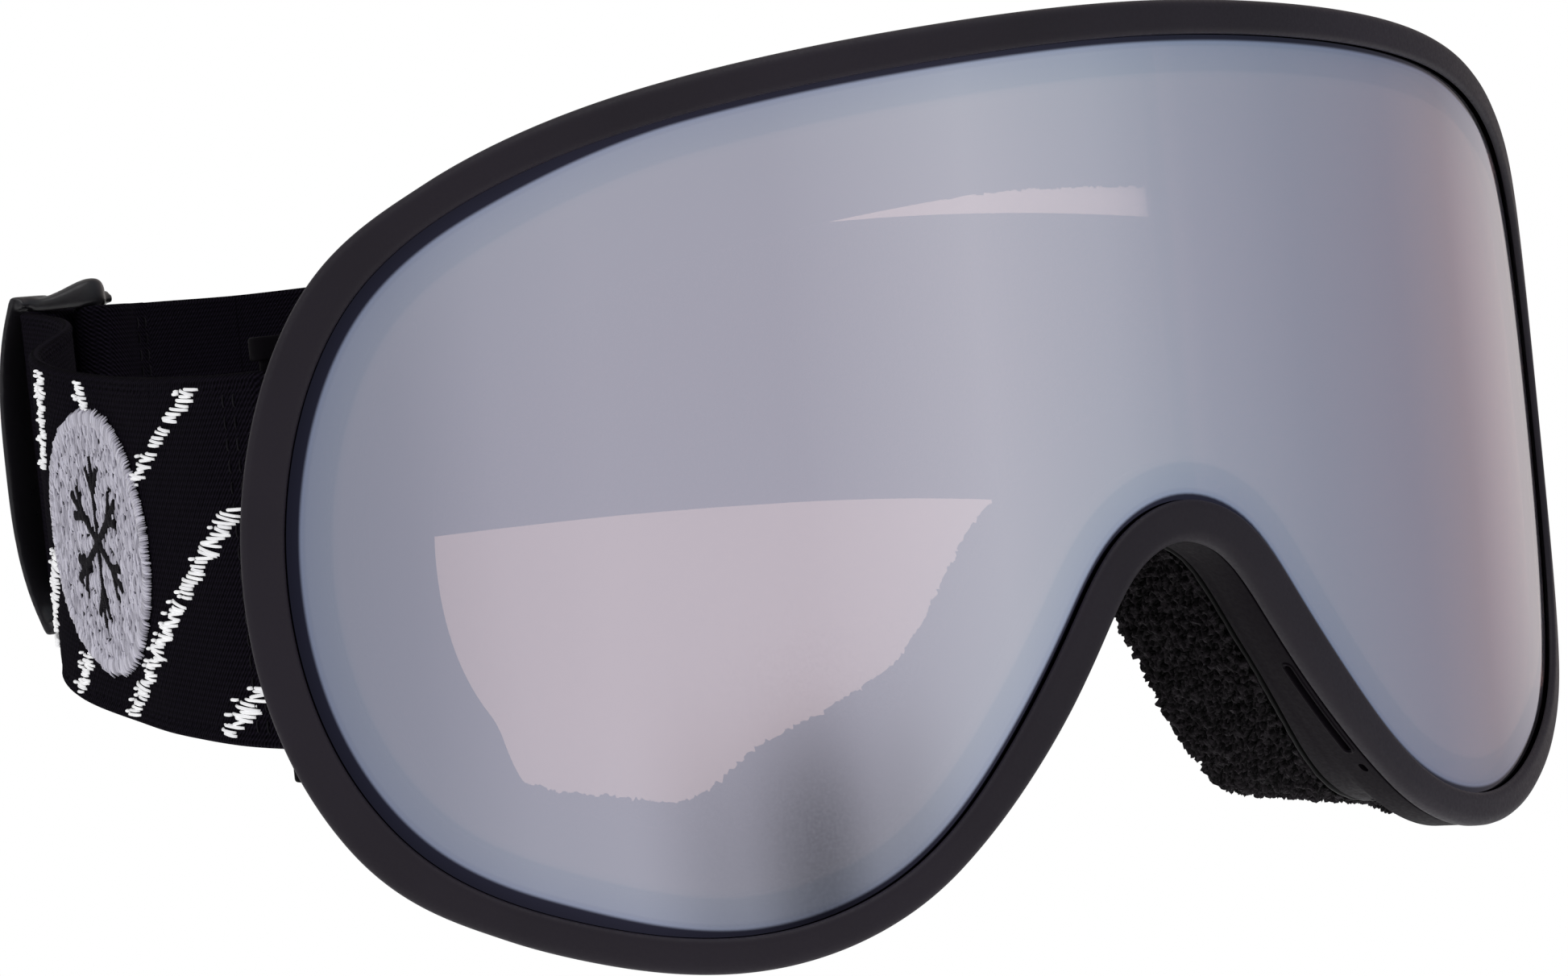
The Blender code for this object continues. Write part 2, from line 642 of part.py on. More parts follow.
zs = [SLIDER_Z + t * (SLOT_HALF + 1.75) for t in np.linspace(-1, 1, 13)]
near_bar = make("strap_slider", rod(
    [(-PITCH - 0.5 * (1 - t * t), V_OUT + BOW * (1 - abs(t) ** 3), z) for t, z in zip(np.linspace(-1, 1, 13), zs)],
    [(BLADE, 1.1)] * 13), SLIDE)
far_bar = make("slider_far_tool", rod(
    [(PITCH + 0.5 * (1 - t * t), V_OUT + BOW * (1 - abs(t) ** 3), z) for t, z in zip(np.linspace(-1, 1, 13), zs)],
    [(BLADE, 1.1)] * 13), None)
mid_bar = make("slider_mid_tool", rod([(0, V_IN, zs[0]), (0, V_IN, zs[-1])], [(1.1, 1.1)] * 2, 12), None)
top_rail = make("slider_top_tool", rail(SLIDER_Z + SLOT_HALF, SLIDER_Z + SLOT_HALF + RAIL), None)
low_rail = make("slider_low_tool", rail(SLIDER_Z - SLOT_HALF - RAIL, SLIDER_Z - SLOT_HALF), None)
for t in (top_rail, low_rail, far_bar, mid_bar):
    cut(near_bar, t, 'UNION')

# The strap's sewn end: in along the inner layer, round the centre bar, back.
WR = 1.1 + GAP + STRAP_T / 2
pts = [(14.0, -LAYER), (10.0, -LAYER), (6.0, -LAYER - 0.02), (3.0, V_IN + WR + 0.05), (0.0, V_IN + WR)]
for k in range(1, 8):
    a = math.pi / 2 + math.pi * k / 8
    pts.append((WR * math.cos(a), V_IN + WR * math.sin(a)))
pts += [(0.0, V_IN - WR), (3.0, V_IN - WR + 0.15), (6.5, V_IN - 0.95), (9.5, -LAYER - STRAP_T - 0.5),
        (12.5, -LAYER - STRAP_T - 0.35)]
sewn = np.array([(*along(u, v), STRAP_Z_BACK) for u, v in pts])
make("strap_sewn_end", band(spline(sewn, 60, False), STRAP_T, STRAP_H, 1.5), WEB)

# ============================================================ badge
# Oval satin-stitched patch on the outside of the right run of the strap.
BADGE_S, BADGE_A, BADGE_B, BADGE_T = 54.5, 20.5, 14.5, 0.7
OUTER_FACE = offset_route(ROUTE, -(STRAP_T / 2 + GAP))
OUTER_TOP = offset_route(ROUTE, -(STRAP_T / 2 + GAP + BADGE_T))


def on_strap(face, s, dz):
    x = float(np.interp(s, S_ROUTE, face[:, 0]))
    y = float(np.interp(s, S_ROUTE, face[:, 1]))
    z = float(np.interp(s, S_ROUTE, face[:, 2]))
    return place(x, y, z + dz)


bm = bmesh.new()
layers = []
NC, NR = 20, 4
for face in (OUTER_FACE, OUTER_TOP):
    grid = []
    for i in range(NC + 1):
        ds = BADGE_A * math.sin(math.pi * (i / NC - 0.5))
        hh = BADGE_B * math.cos(math.pi * (i / NC - 0.5))
        if i in (0, NC):
            grid.append([bm.verts.new(on_strap(face, BADGE_S + ds, 0))] * (NR + 1))
        else:
            grid.append([bm.verts.new(on_strap(face, BADGE_S + ds, hh * (2 * j / NR - 1))) for j in range(NR + 1)])
    layers.append(grid)


def quad(*vs):
    u = []
    for v in vs:
        if v not in u:
            u.append(v)
    if len(u) > 2:
        bm.faces.new(u)


for g in layers:
    for i in range(NC):
        for j in range(NR):
            quad(g[i][j], g[i + 1][j], g[i + 1][j + 1], g[i][j + 1])
for j in (0, NR):
    for i in range(NC):
        quad(layers[0][i][j], layers[0][i + 1][j], layers[1][i + 1][j], layers[1][i][j])
make("strap_badge", bm, THREAD)

# ============================================================ joint guides
# Empties on the two joints' axes carry the moving pieces.
tilt = bpy.data.objects.new("strap_tilt_axis", None)
tilt.location = place(0, BY, PIVOT_Z)
bpy.context.scene.collection.objects.link(tilt)
slide = bpy.data.objects.new("adjuster_slide_axis", None)
slide.location = place(sx, sy, SLIDER_Z)
bpy.context.scene.collection.objects.link(slide)
bpy.context.view_layer.update()
for name, par in (("strap_band", tilt), ("strap_return_layer", tilt), ("strap_return_slack", tilt),
                  ("strap_badge", tilt), ("strap_slider", slide), ("strap_sewn_end", slide),
                  ("adjuster_slide_axis", tilt)):
    ob = bpy.data.objects[name]
    ob.parent = par
    ob.matrix_parent_inverse = par.matrix_world.inverted()
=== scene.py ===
"""Ski goggles: the looks.  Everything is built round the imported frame: fine
sweeps of the frame, a mirrored lens, open-cell foam, knitted elastic with its
embroidery, and a smooth moulded adjuster.

Lengths are millimetres in design axes whose Y starts at the lens front; to_world()
turns them into metres in the row frame (origin 40 mm behind the lens front).
"""
import math
import bpy
import bmesh
import numpy as np
from mathutils import Matrix, Vector


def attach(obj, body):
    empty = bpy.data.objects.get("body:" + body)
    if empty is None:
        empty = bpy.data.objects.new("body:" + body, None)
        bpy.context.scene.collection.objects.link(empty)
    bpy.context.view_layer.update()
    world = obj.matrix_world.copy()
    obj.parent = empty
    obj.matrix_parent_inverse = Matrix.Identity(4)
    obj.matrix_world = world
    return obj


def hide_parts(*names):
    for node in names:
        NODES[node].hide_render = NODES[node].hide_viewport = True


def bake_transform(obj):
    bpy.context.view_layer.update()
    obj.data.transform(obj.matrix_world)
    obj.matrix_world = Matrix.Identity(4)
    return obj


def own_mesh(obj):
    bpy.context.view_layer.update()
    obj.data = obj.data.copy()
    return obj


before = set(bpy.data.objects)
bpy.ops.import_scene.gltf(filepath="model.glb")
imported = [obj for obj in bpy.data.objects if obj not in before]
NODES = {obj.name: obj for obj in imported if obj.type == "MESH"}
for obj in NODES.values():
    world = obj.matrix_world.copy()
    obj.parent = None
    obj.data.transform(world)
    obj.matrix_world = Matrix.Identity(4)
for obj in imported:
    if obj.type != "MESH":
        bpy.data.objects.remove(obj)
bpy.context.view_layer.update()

# ---- design values, as in the CAD -----------------------------------------
SEAL_Y = 40.0
GAP = 0.3
R_LENS, LENS_T = 129.0, 1.0
SPACER, INNER = (1.3, 3.8), (4.1, 4.9)
RIM_PROUD, RIM_LEG, BODY_D, STEP_D = 1.0, 1.0, 1.3, 5.5
WALL, FLANGE_T, ADH_T = 2.0, 1.2, 0.4
BROW_IN, CHEEK_IN, TEMPLE_IN = -13.4, -9.4, -13.2
HALF_OUTLINE = [(0, 42.2), (24, 41.2), (48, 38.6), (70, 33.2), (85.5, 23.6),
                (93, 9.5), (94.9, -5), (91.9, -20), (84, -31.4), (69.5, -39),
                (51.5, -42.1), (36.5, -37.8), (24.5, -27), (16, -16),
                (8.8, -7.6), (0, -4.6)]
STRAP_H, STRAP_T, LAYER = 38.0, 1.3, 1.65
BAR_R, BAR_S, BAR_D, PIVOT_Z = 1.6, 96.6, 10.9, -1.2
SLIDER_POS, SLIDER_Z, SLIDE_DIR = (-14.05, 202.0), 8.45, (0.8984, 0.4392)
SLIDE_TRAVEL, STRAP_Z_BACK = 22.0, 9.8


# ============================================================ curve helpers
def spline(points, n, closed):
    p = np.array(points, float)
    q = np.vstack([p, p[:1]]) if closed else p
    h = np.sqrt((np.diff(q, axis=0) ** 2).sum(1))
    m = len(p)
    a = np.zeros((m, m))
    b = np.zeros(p.shape)
    for i in range(m):
        if not closed and i in (0, m - 1):
            a[i, i] = 1.0
            continue
        lo, hi = h[i - 1], h[i]
        a[i, i - 1] += lo
        a[i, i] += 2 * (lo + hi)
        a[i, (i + 1) % m] += hi
        b[i] = 6 * ((q[i + 1] - q[i]) / hi - (q[i] - p[i - 1]) / lo)
    c = np.linalg.solve(a, b)
    fine = []
    for i in range(len(q) - 1):
        t = np.linspace(0, 1, 60, endpoint=False)[:, None] * h[i]
        u = h[i] - t
        c0, c1 = c[i], c[(i + 1) % m]
        fine.append(c0 * u ** 3 / (6 * h[i]) + c1 * t ** 3 / (6 * h[i])
                    + (q[i] / h[i] - c0 * h[i] / 6) * u
                    + (q[i + 1] / h[i] - c1 * h[i] / 6) * t)
    fine = np.vstack(fine + [q[-1:]])
    return resample(fine, n, closed)


def arcs(p):
    return np.concatenate([[0], np.cumsum(np.linalg.norm(np.diff(p, axis=0), axis=1))])


def resample(p, n, closed=False):
    s = arcs(p)
    t = np.linspace(0, s[-1], n, endpoint=not closed)
    return np.stack([np.interp(t, s, p[:, k]) for k in range(p.shape[1])], 1)


def smooth(x):
    x = np.clip(x, 0.0, 1.0)
    return x * x * (3 - 2 * x)


def outline(n):
    return spline(HALF_OUTLINE + [(-x, z) for x, z in HALF_OUTLINE[-2:0:-1]], n, True)


class Loop:
    """The lens outline at one resolution, with the frame's section round it."""

    def __init__(self, n):
        self.n = n
        self.p = outline(n)
        t = np.roll(self.p, -1, 0) - np.roll(self.p, 1, 0)
        t /= np.linalg.norm(t, axis=1)[:, None]
        self.nm = np.stack([-t[:, 1], t[:, 0]], 1)
        if self.nm[0, 1] < 0:
            self.nm = -self.nm
        s, z = self.p.T
        self.s, self.z = s, z
        self.side = smooth((abs(s) - 76.0) / 12.0)
        self.nose = np.where(z < 15, smooth((33.0 - abs(s)) / 14.0), 0.0)
        self.w = 4.25 + 0.85 * self.side + 0.65 * self.nose
        base = 9.0 + 2.0 * smooth((z + 12.0) / 24.0)
        self.depth = base + (17.0 - base) * self.side - 2.1 * self.nose
        tuck = np.where(z < 0, 2.6 * np.exp(-((abs(s) - 45.0) / 7.5) ** 2), 0.0)
        self.wall = (self.w - 0.15) * (1 - self.side) - 3.2 * self.side - tuck
        up = smooth((z + 4.0) / 24.0)
        self.inner = (1 - self.side) * (CHEEK_IN + (BROW_IN - CHEEK_IN) * up) + TEMPLE_IN * self.side
        self.arc = np.concatenate([[0], np.cumsum(np.linalg.norm(
            np.diff(np.vstack([self.p, self.p[:1]]), axis=0), axis=1))])
        self.total = self.arc[-1]

    def at(self, arc, key):
        """A per-station quantity at arc lengths round the loop."""
        v = np.concatenate([key, key[:1]])
        return np.interp(np.asarray(arc) % self.total, self.arc, v)

    def arc_at(self, s_want, upper):
        ok = (self.z > 0) == upper
        k = int(np.argmin(np.where(ok, abs(self.s - s_want), 1e9)))
        return self.arc[k]


def on_lens(s, z, d):
    a = s / R_LENS
    r = R_LENS - d
    return np.stack(np.broadcast_arrays(r * np.sin(a), R_LENS - r * np.cos(a), z), -1)


def face_y(x):
    return 24.3 + 33.7 * (abs(x) / 75.0) ** 2.2


def to_world(p):
    q = np.array(p, float)
    q[..., 1] -= SEAL_Y
    return q * 0.001


# ---- the strap's route -----------------------------------------------------
_bar = on_lens(BAR_S, 0.0, BAR_D)
BX, BY = float(_bar[0]), float(_bar[1])
OUT = BAR_R + GAP + STRAP_T / 2
UX, UY = SLIDE_DIR
SX, SY = SLIDER_POS


def along(u, v=0.0):
    return (SX + u * UX - v * UY, SY + u * UY + v * UX)


NEAR = [(-BX - OUT, BY, -1.2), (-82.6, 50, -1.1), (-79.8, 65, -0.8), (-77.2, 75.7, -0.5),
        (-73.0, 90, 0.1), (-70.0, 101.9, 0.9), (-67.1, 112.7, 1.9), (-62.5, 124.4, 3.2),
        (-54.6, 137.2, 4.6), (-46.0, 147.9, 6.0), (-39.0, 158.5, 7.1), (-33.1, 170.1, 8.0),
        (-28.7, 182.2, 8.9), (-25.9, 191.6, 9.5)]
BACK = [(*along(u), STRAP_Z_BACK) for u in (-9.4, -4.5, 0, 12, 24, 36)]
FAR = [(29.5, 222.4, 10.0), (42, 222.5, 10.3), (53, 216.5, 10.6), (61.5, 206, 10.9), (67.3, 192, 11.2),
       (72, 174, 11.3), (75.8, 150, 11.1), (78.9, 122, 9.8), (81.2, 92, 6.8), (82.6, 65, 2.8),
       (BX + OUT, BY, -1.2)]
ROUTE = spline(NEAR + BACK + FAR, 2400, False)
S_ROUTE = arcs(ROUTE)


def tangents(p):
    t = np.gradient(p[:, :2], axis=0)
    return t / np.linalg.norm(t, axis=1)[:, None]


def offset_route(p, dist):
    """Positive distances go to the inside of the loop."""
    t = tangents(p)
    q = p.copy()
    dd = np.asarray(dist).reshape(-1, 1) if np.ndim(dist) else dist
    q[:, :2] = p[:, :2] + np.stack([t[:, 1], -t[:, 0]], 1) * dd
    return q


def station(u):
    x, y = along(u)
    return float(S_ROUTE[np.argmin((ROUTE[:, 0] - x) ** 2 + (ROUTE[:, 1] - y) ** 2)])


def wrap(sgn, tail):
    """Webbing round an anchor bar: outer layer in, round the front, inner out."""
    outer = ROUTE[(ROUTE[:, 1] < BY + 40) & (ROUTE[:, 0] * sgn > 0)]
    outer = outer[np.argsort(-outer[:, 1])]
    a = outer[outer[:, 1] > BY + 0.4]
    th = np.linspace(0, math.pi, 25)
    arc = np.stack([sgn * (BX + OUT * np.cos(th)), BY - OUT * np.sin(th), np.full(25, PIVOT_Z)], 1)
    y = np.linspace(0.4, tail, max(4, int(tail / 0.8))) + BY
    up = outer[::-1]
    qx, qz = np.interp(y, up[:, 1], up[:, 0]), np.interp(y, up[:, 1], up[:, 2])
    g = LAYER + (2 * OUT - LAYER) * (1 - smooth((y - BY) / 15.0))
    inner = np.stack([qx - sgn * g, y, PIVOT_Z + (qz - PIVOT_Z) * (0.5 + 0.5 * smooth((y - BY - 5) / 30.0))], 1)
    return a, arc, inner
#CORE-END


# ============================================================ mesh helpers
def build(name, verts, faces, mats=(), index=None, angle=None, attrs=None, flip=False):
    """verts (n,3) in design mm; faces a list of (k,m) index arrays."""
    me = bpy.data.meshes.new(name)
    v = to_world(verts).reshape(-1, 3)
    faces = [np.asarray(f, np.int32) for f in faces if len(f)]
    if flip:
        faces = [f[:, ::-1] for f in faces]
    me.vertices.add(len(v))
    me.vertices.foreach_set("co", v.astype(np.float32).ravel())
    loops = np.concatenate([f.ravel() for f in faces])
    sizes = np.concatenate([np.full(len(f), f.shape[1], np.int32) for f in faces])
    me.loops.add(len(loops))
    me.loops.foreach_set("vertex_index", loops)
    me.polygons.add(len(sizes))
    me.polygons.foreach_set("loop_start", np.concatenate([[0], np.cumsum(sizes)[:-1]]).astype(np.int32))
    if index is not None:
        me.polygons.foreach_set("material_index", np.concatenate(index).astype(np.int32))
    me.update(calc_edges=True)
    me.validate()
    for m in mats:
        me.materials.append(m)
    for key, val in (attrs or {}).items():
        val = np.asarray(val, np.float32)
        if val.ndim == 1:
            me.attributes.new(key, 'FLOAT', 'POINT').data.foreach_set("value", val)
        else:
            me.attributes.new(key, 'FLOAT_VECTOR', 'POINT').data.foreach_set("vector", val.ravel())
    me.shade_smooth()
    if angle is not None:
        me.set_sharp_from_angle(angle=math.radians(angle))
    ob = bpy.data.objects.new(name, me)
    bpy.context.scene.collection.objects.link(ob)
    return ob


def grid_faces(n, m, close_u, close_v, start=0):
    i = np.arange(n if close_u else n - 1)
    j = np.arange(m if close_v else m - 1)
    i, j = np.meshgrid(i, j, indexing='ij')
    i2, j2 = (i + 1) % n, (j + 1) % m
    f = np.stack([i * m + j, i2 * m + j, i2 * m + j2, i * m + j2], -1).reshape(-1, 4)
    return f + start


def volume_sign(ob):
    bm = bmesh.new()
    bm.from_mesh(ob.data)
    v = bm.calc_volume(signed=True)
    if v < 0:
        bmesh.ops.reverse_faces(bm, faces=bm.faces[:])
        bm.to_mesh(ob.data)
    bm.free()
    return ob


def sweep(name, lp, profile, mats, angle=None, attrs=None):
    """profile: list of (e array, d array) round the loop, as a closed ring."""
    pts = np.stack([on_lens(lp.s + e * lp.nm[:, 0], lp.z + e * lp.nm[:, 1], d) for e, d in profile], 1)
    ob = build(name, pts.reshape(-1, 3), [grid_faces(lp.n, len(profile), True, True)], mats, angle=angle, attrs=attrs)
    return volume_sign(ob)


def apply_all(ob):
    dg = bpy.context.evaluated_depsgraph_get()
    me = bpy.data.meshes.new_from_object(ob.evaluated_get(dg), preserve_all_data_layers=True, depsgraph=dg)
    ob.modifiers.clear()
    ob.data = me
    return ob


def boolean(ob, cutter, op):
    m = ob.modifiers.new("b", 'BOOLEAN')
    m.operation, m.object, m.solver = op, cutter, 'EXACT'
    apply_all(ob)
    bpy.data.objects.remove(cutter, do_unlink=True)


def hashed(c, seed):
    """Three repeatable numbers in 0..1 for each integer cell."""
    c = c.astype(np.uint64)
    h = (c[:, 0] * np.uint64(73856093)) ^ (c[:, 1] * np.uint64(19349663)) ^ (c[:, 2] * np.uint64(83492791)) ^ np.uint64(seed * 2654435761 % 2 ** 32)
    out = []
    for k in (1, 2, 3):
        g = (h + np.uint64(k * 0x9E3779B1)) & np.uint64(0xFFFFFFFF)
        g = ((g ^ (g >> np.uint64(15))) * np.uint64(0x85EBCA6B)) & np.uint64(0xFFFFFFFF)
        g = ((g ^ (g >> np.uint64(13))) * np.uint64(0xC2B2AE35)) & np.uint64(0xFFFFFFFF)
        g = g ^ (g >> np.uint64(16))
        out.append(g.astype(float) / 2 ** 32)
    return np.stack(out, 1)


def worley(p, cell, seed):
    """Distances to the nearest and second nearest cell centre, in cells."""
    q = p / cell + 4096.0
    base = np.floor(q).astype(np.int64)
    f1 = np.full(len(p), 9.0)
    f2 = f1.copy()
    for dx in (-1, 0, 1):
        for dy in (-1, 0, 1):
            for dz in (-1, 0, 1):
                c = base + np.array([dx, dy, dz])
                d = np.linalg.norm(c + 0.1 + 0.8 * hashed(c, seed) - q, axis=1)
                near = d < f1
                f2 = np.where(near, f1, np.minimum(f2, d))
                f1 = np.where(near, d, f1)
    return f1, f2


def value_noise(p, cell, seed):
    q = p / cell + 512.0
    b = np.floor(q).astype(np.int64)
    f = smooth(q - b)
    out = np.zeros(len(p))
    for dx in (0, 1):
        for dy in (0, 1):
            for dz in (0, 1):
                w = (f[:, 0] if dx else 1 - f[:, 0]) * (f[:, 1] if dy else 1 - f[:, 1]) * (f[:, 2] if dz else 1 - f[:, 2])
                out += w * hashed(b + np.array([dx, dy, dz]), seed)[:, 0]
    return out


# ============================================================ materials
def material(name):
    m = bpy.data.materials.new(name)
    m.use_nodes = True
    return m, m.node_tree, m.node_tree.nodes["Principled BSDF"]


def nd(nt, kind, **kw):
    n = nt.nodes.new("ShaderNode" + kind)
    for k, v in kw.items():
        if hasattr(n, k):
            setattr(n, k, v)
    return n


def link(nt, a, b):
    nt.links.new(a, b)


def mathn(nt, op, a, b=None, clamp=False):
    n = nt.nodes.new("ShaderNodeMath")
    n.operation = op
    n.use_clamp = clamp
    for i, v in enumerate((a, b)):
        if v is None:
            continue
        if isinstance(v, (int, float)):
            n.inputs[i].default_value = v
        else:
            nt.links.new(v, n.inputs[i])
    return n.outputs[0]


def ramp(nt, fac, stops, interp='LINEAR'):
    n = nt.nodes.new("ShaderNodeValToRGB")
    n.color_ramp.interpolation = interp
    e = n.color_ramp.elements
    while len(e) < len(stops):
        e.new(0.5)
    for k, (pos, col) in zip(e, stops):
        k.position = pos
        k.color = (*col, 1) if len(col) == 3 else col
    nt.links.new(fac, n.inputs[0])
    return n.outputs[0]


def noise(nt, scale, detail=2.0, rough=0.5, vec=None):
    n = nt.nodes.new("ShaderNodeTexNoise")
    n.inputs["Scale"].default_value = scale
    n.inputs["Detail"].default_value = detail
    n.inputs["Roughness"].default_value = rough
    if vec is None:
        tc = nt.nodes.new("ShaderNodeTexCoord")
        vec = tc.outputs["Object"]
    nt.links.new(vec, n.inputs["Vector"])
    return n.outputs[0]


def bump(nt, height, strength, distance, into):
    n = nt.nodes.new("ShaderNodeBump")
    n.inputs["Strength"].default_value = strength
    n.inputs["Distance"].default_value = distance
    nt.links.new(height, n.inputs["Height"])
    nt.links.new(n.outputs[0], into)
    return n


def setb(b, **kw):
    names = {"rough": "Roughness", "metal": "Metallic", "spec": "Specular IOR Level", "sheen": "Sheen Weight",
             "sheen_rough": "Sheen Roughness", "coat": "Coat Weight", "coat_rough": "Coat Roughness", "alpha": "Alpha"}
    for k, v in kw.items():
        b.inputs[names[k]].default_value = v


def moulded(name, colour, rough, grain=2600.0, spec=0.35, strength=0.12):
    """Matte moulded plastic or rubber: spark-eroded grain, faint tone drift."""
    m, nt, b = material(name)
    big = noise(nt, 45.0, 3)
    fine = noise(nt, grain, 2)
    lo = tuple(c * 0.86 for c in colour)
    hi = tuple(min(1, c * 1.16) for c in colour)
    link(nt, ramp(nt, big, [(0.3, lo), (0.7, hi)]), b.inputs["Base Color"])
    r = ramp(nt, fine, [(0.25, (rough - 0.07,) * 3), (0.75, (rough + 0.08,) * 3)])
    link(nt, r, b.inputs["Roughness"])
    setb(b, spec=spec)
    bump(nt, fine, strength, 0.00012, b.inputs["Normal"])
    return m


M_RIM = moulded("rim_matte_black", (0.0160, 0.0119, 0.0186), 0.52, spec=0.25)
M_FRAME = moulded("frame_soft_black", (0.0062, 0.0042, 0.0068), 0.58, 2200.0, 0.07)
# painted shade: the frame's anchor arms and bars are coloured darker than the frame body they are moulded with,
# standing in for the shade they sit in
M_ANCHOR_PAINTED_SHADE = moulded("frame_anchor_painted_shade", (0.0028, 0.0021, 0.0032), 0.66, 2200.0, 0.03)
M_SLIDER = moulded("slider_satin_black", (0.0120, 0.0110, 0.0135), 0.34, 1500.0, 0.45, 0.06)


def foam_material(name, colour, cell):
    m, nt, b = material(name)
    vo = nt.nodes.new("ShaderNodeTexVoronoi")
    vo.feature = 'DISTANCE_TO_EDGE'
    vo.inputs["Scale"].default_value = 1000.0 / cell
    tc = nt.nodes.new("ShaderNodeTexCoord")
    link(nt, tc.outputs["Object"], vo.inputs["Vector"])
    at = nt.nodes.new("ShaderNodeAttribute")
    at.attribute_name = "pore"
    # painted shade: the pores are coloured near black, darkening the hollows where shadow falls; the struts keep the
    # foam's own colour
    col = ramp(nt, at.outputs["Fac"], [(0.0, colour), (0.30, tuple(c * 0.30 for c in colour)), (0.7, (0.0007, 0.0007, 0.0007)), (1.0, (0.0003, 0.0003, 0.0003))])
    link(nt, col, b.inputs["Base Color"])
    setb(b, rough=0.65, spec=0.10)
    bump(nt, ramp(nt, vo.outputs["Distance"], [(0.0, (1, 1, 1)), (0.25, (0, 0, 0))]), 0.6, 0.00025, b.inputs["Normal"])
    return m


M_FOAM = foam_material("face_foam_open_cell", (0.0175, 0.0142, 0.0172), 0.55)
M_VENT = foam_material("vent_foam_open_cell", (0.020, 0.020, 0.021), 0.5)


def lens_materials():
    # mirror coat on the front: silver with a rose transmission
    m, nt, b = material("lens_silver_mirror")
    at = nt.nodes.new("ShaderNodeAttribute")
    at.attribute_name = "edge_mm"
    f = mathn(nt, 'DIVIDE', mathn(nt, 'ADD', at.outputs["Fac"], 3.0), 23.0, True)
    drift = noise(nt, 14.0, 1)
    # painted shadow and painted reflection: near the visible edge the silver is coloured a bluish black that lightens
    # over the first few millimetres, standing in for the shadowed groove and the rim lip reflected in the mirror;
    # further in it is the mirror's own silver
    silver_with_painted_edge_shade = ramp(nt, f, [(0.0, (0.02, 0.02, 0.03)), (0.127, (0.04, 0.04, 0.065)), (0.139, (0.50, 0.56, 0.74)), (0.162, (0.66, 0.72, 0.89)), (0.266, (0.715, 0.768, 0.918)),
                        (0.280, (0.785, 0.812, 0.950)), (0.31, (0.81, 0.826, 0.96)), (0.565, (0.825, 0.83, 0.968)), (1.0, (0.835, 0.83, 0.97))])
    mix = nt.nodes.new("ShaderNodeMix")
    mix.data_type, mix.blend_type = 'RGBA', 'MULTIPLY'
    mix.inputs["Factor"].default_value = 1.0
    link(nt, silver_with_painted_edge_shade, mix.inputs["A"])
    link(nt, ramp(nt, drift, [(0.3, (0.975, 0.975, 0.98)), (0.7, (1.0, 0.995, 1.0))]), mix.inputs["B"])
    link(nt, mix.outputs["Result"], b.inputs["Base Color"])
    setb(b, metal=1.0)
    fine = noise(nt, 3200.0, 1)
    link(nt, ramp(nt, fine, [(0.3, (0.055,) * 3), (0.7, (0.085,) * 3)]), b.inputs["Roughness"])
    tr = nt.nodes.new("ShaderNodeBsdfTransparent")
    tr.inputs["Color"].default_value = (1.0, 0.70, 0.60, 1)
    ms = nt.nodes.new("ShaderNodeMixShader")
    link(nt, ramp(nt, f, [(0.0, (1, 1, 1)), (0.133, (0.99,) * 3), (0.155, (0.815,) * 3), (1.0, (0.808,) * 3)]), ms.inputs[0])
    link(nt, tr.outputs[0], ms.inputs[1])
    link(nt, b.outputs[0], ms.inputs[2])
    link(nt, ms.outputs[0], nt.nodes["Material Output"].inputs["Surface"])

    def clear(name, colour, rough):
        c, ct, cb = material(name)
        t = ct.nodes.new("ShaderNodeBsdfTransparent")
        g = noise(ct, 60.0, 2)
        link(ct, ramp(ct, g, [(0.3, tuple(x * 0.985 for x in colour)), (0.7, colour)]), t.inputs["Color"])
        gl = ct.nodes.new("ShaderNodeBsdfGlossy")
        gl.inputs["Color"].default_value = (0.9, 0.9, 0.95, 1)
        gl.inputs["Roughness"].default_value = rough
        lw = ct.nodes.new("ShaderNodeFresnel")
        lw.inputs["IOR"].default_value = 1.45
        s = ct.nodes.new("ShaderNodeMixShader")
        link(ct, lw.outputs[0], s.inputs[0])
        link(ct, t.outputs[0], s.inputs[1])
        link(ct, gl.outputs[0], s.inputs[2])
        link(ct, s.outputs[0], ct.nodes["Material Output"].inputs["Surface"])
        ct.nodes.remove(cb)
        return c
    return m, clear("lens_back_face", (0.97, 0.96, 0.965), 0.04), clear("inner_lens_clear", (0.95, 0.955, 0.96), 0.03)


M_MIRROR, M_LENS_BACK, M_INNER = lens_materials()


def gasket_material():
    m, nt, b = material("gasket_closed_cell")
    g = noise(nt, 1400.0, 3, 0.6)
    link(nt, ramp(nt, g, [(0.3, (0.030, 0.031, 0.034)), (0.7, (0.055, 0.056, 0.060))]), b.inputs["Base Color"])
    setb(b, rough=0.85, spec=0.2)
    bump(nt, g, 0.4, 0.0002, b.inputs["Normal"])
    return m


def film_material():
    m, nt, b = material("adhesive_film")
    g = noise(nt, 240.0, 3)
    # painted highlight: the sparse light patches stand in for the glue's shine on an otherwise near-black film
    link(nt, ramp(nt, g, [(0.40, (0.003, 0.003, 0.003)), (0.68, (0.006, 0.006, 0.006)), (0.84, (0.06, 0.06, 0.058))]), b.inputs["Base Color"])
    setb(b, rough=0.42, spec=0.12)
    bump(nt, g, 0.5, 0.0003, b.inputs["Normal"])
    return m


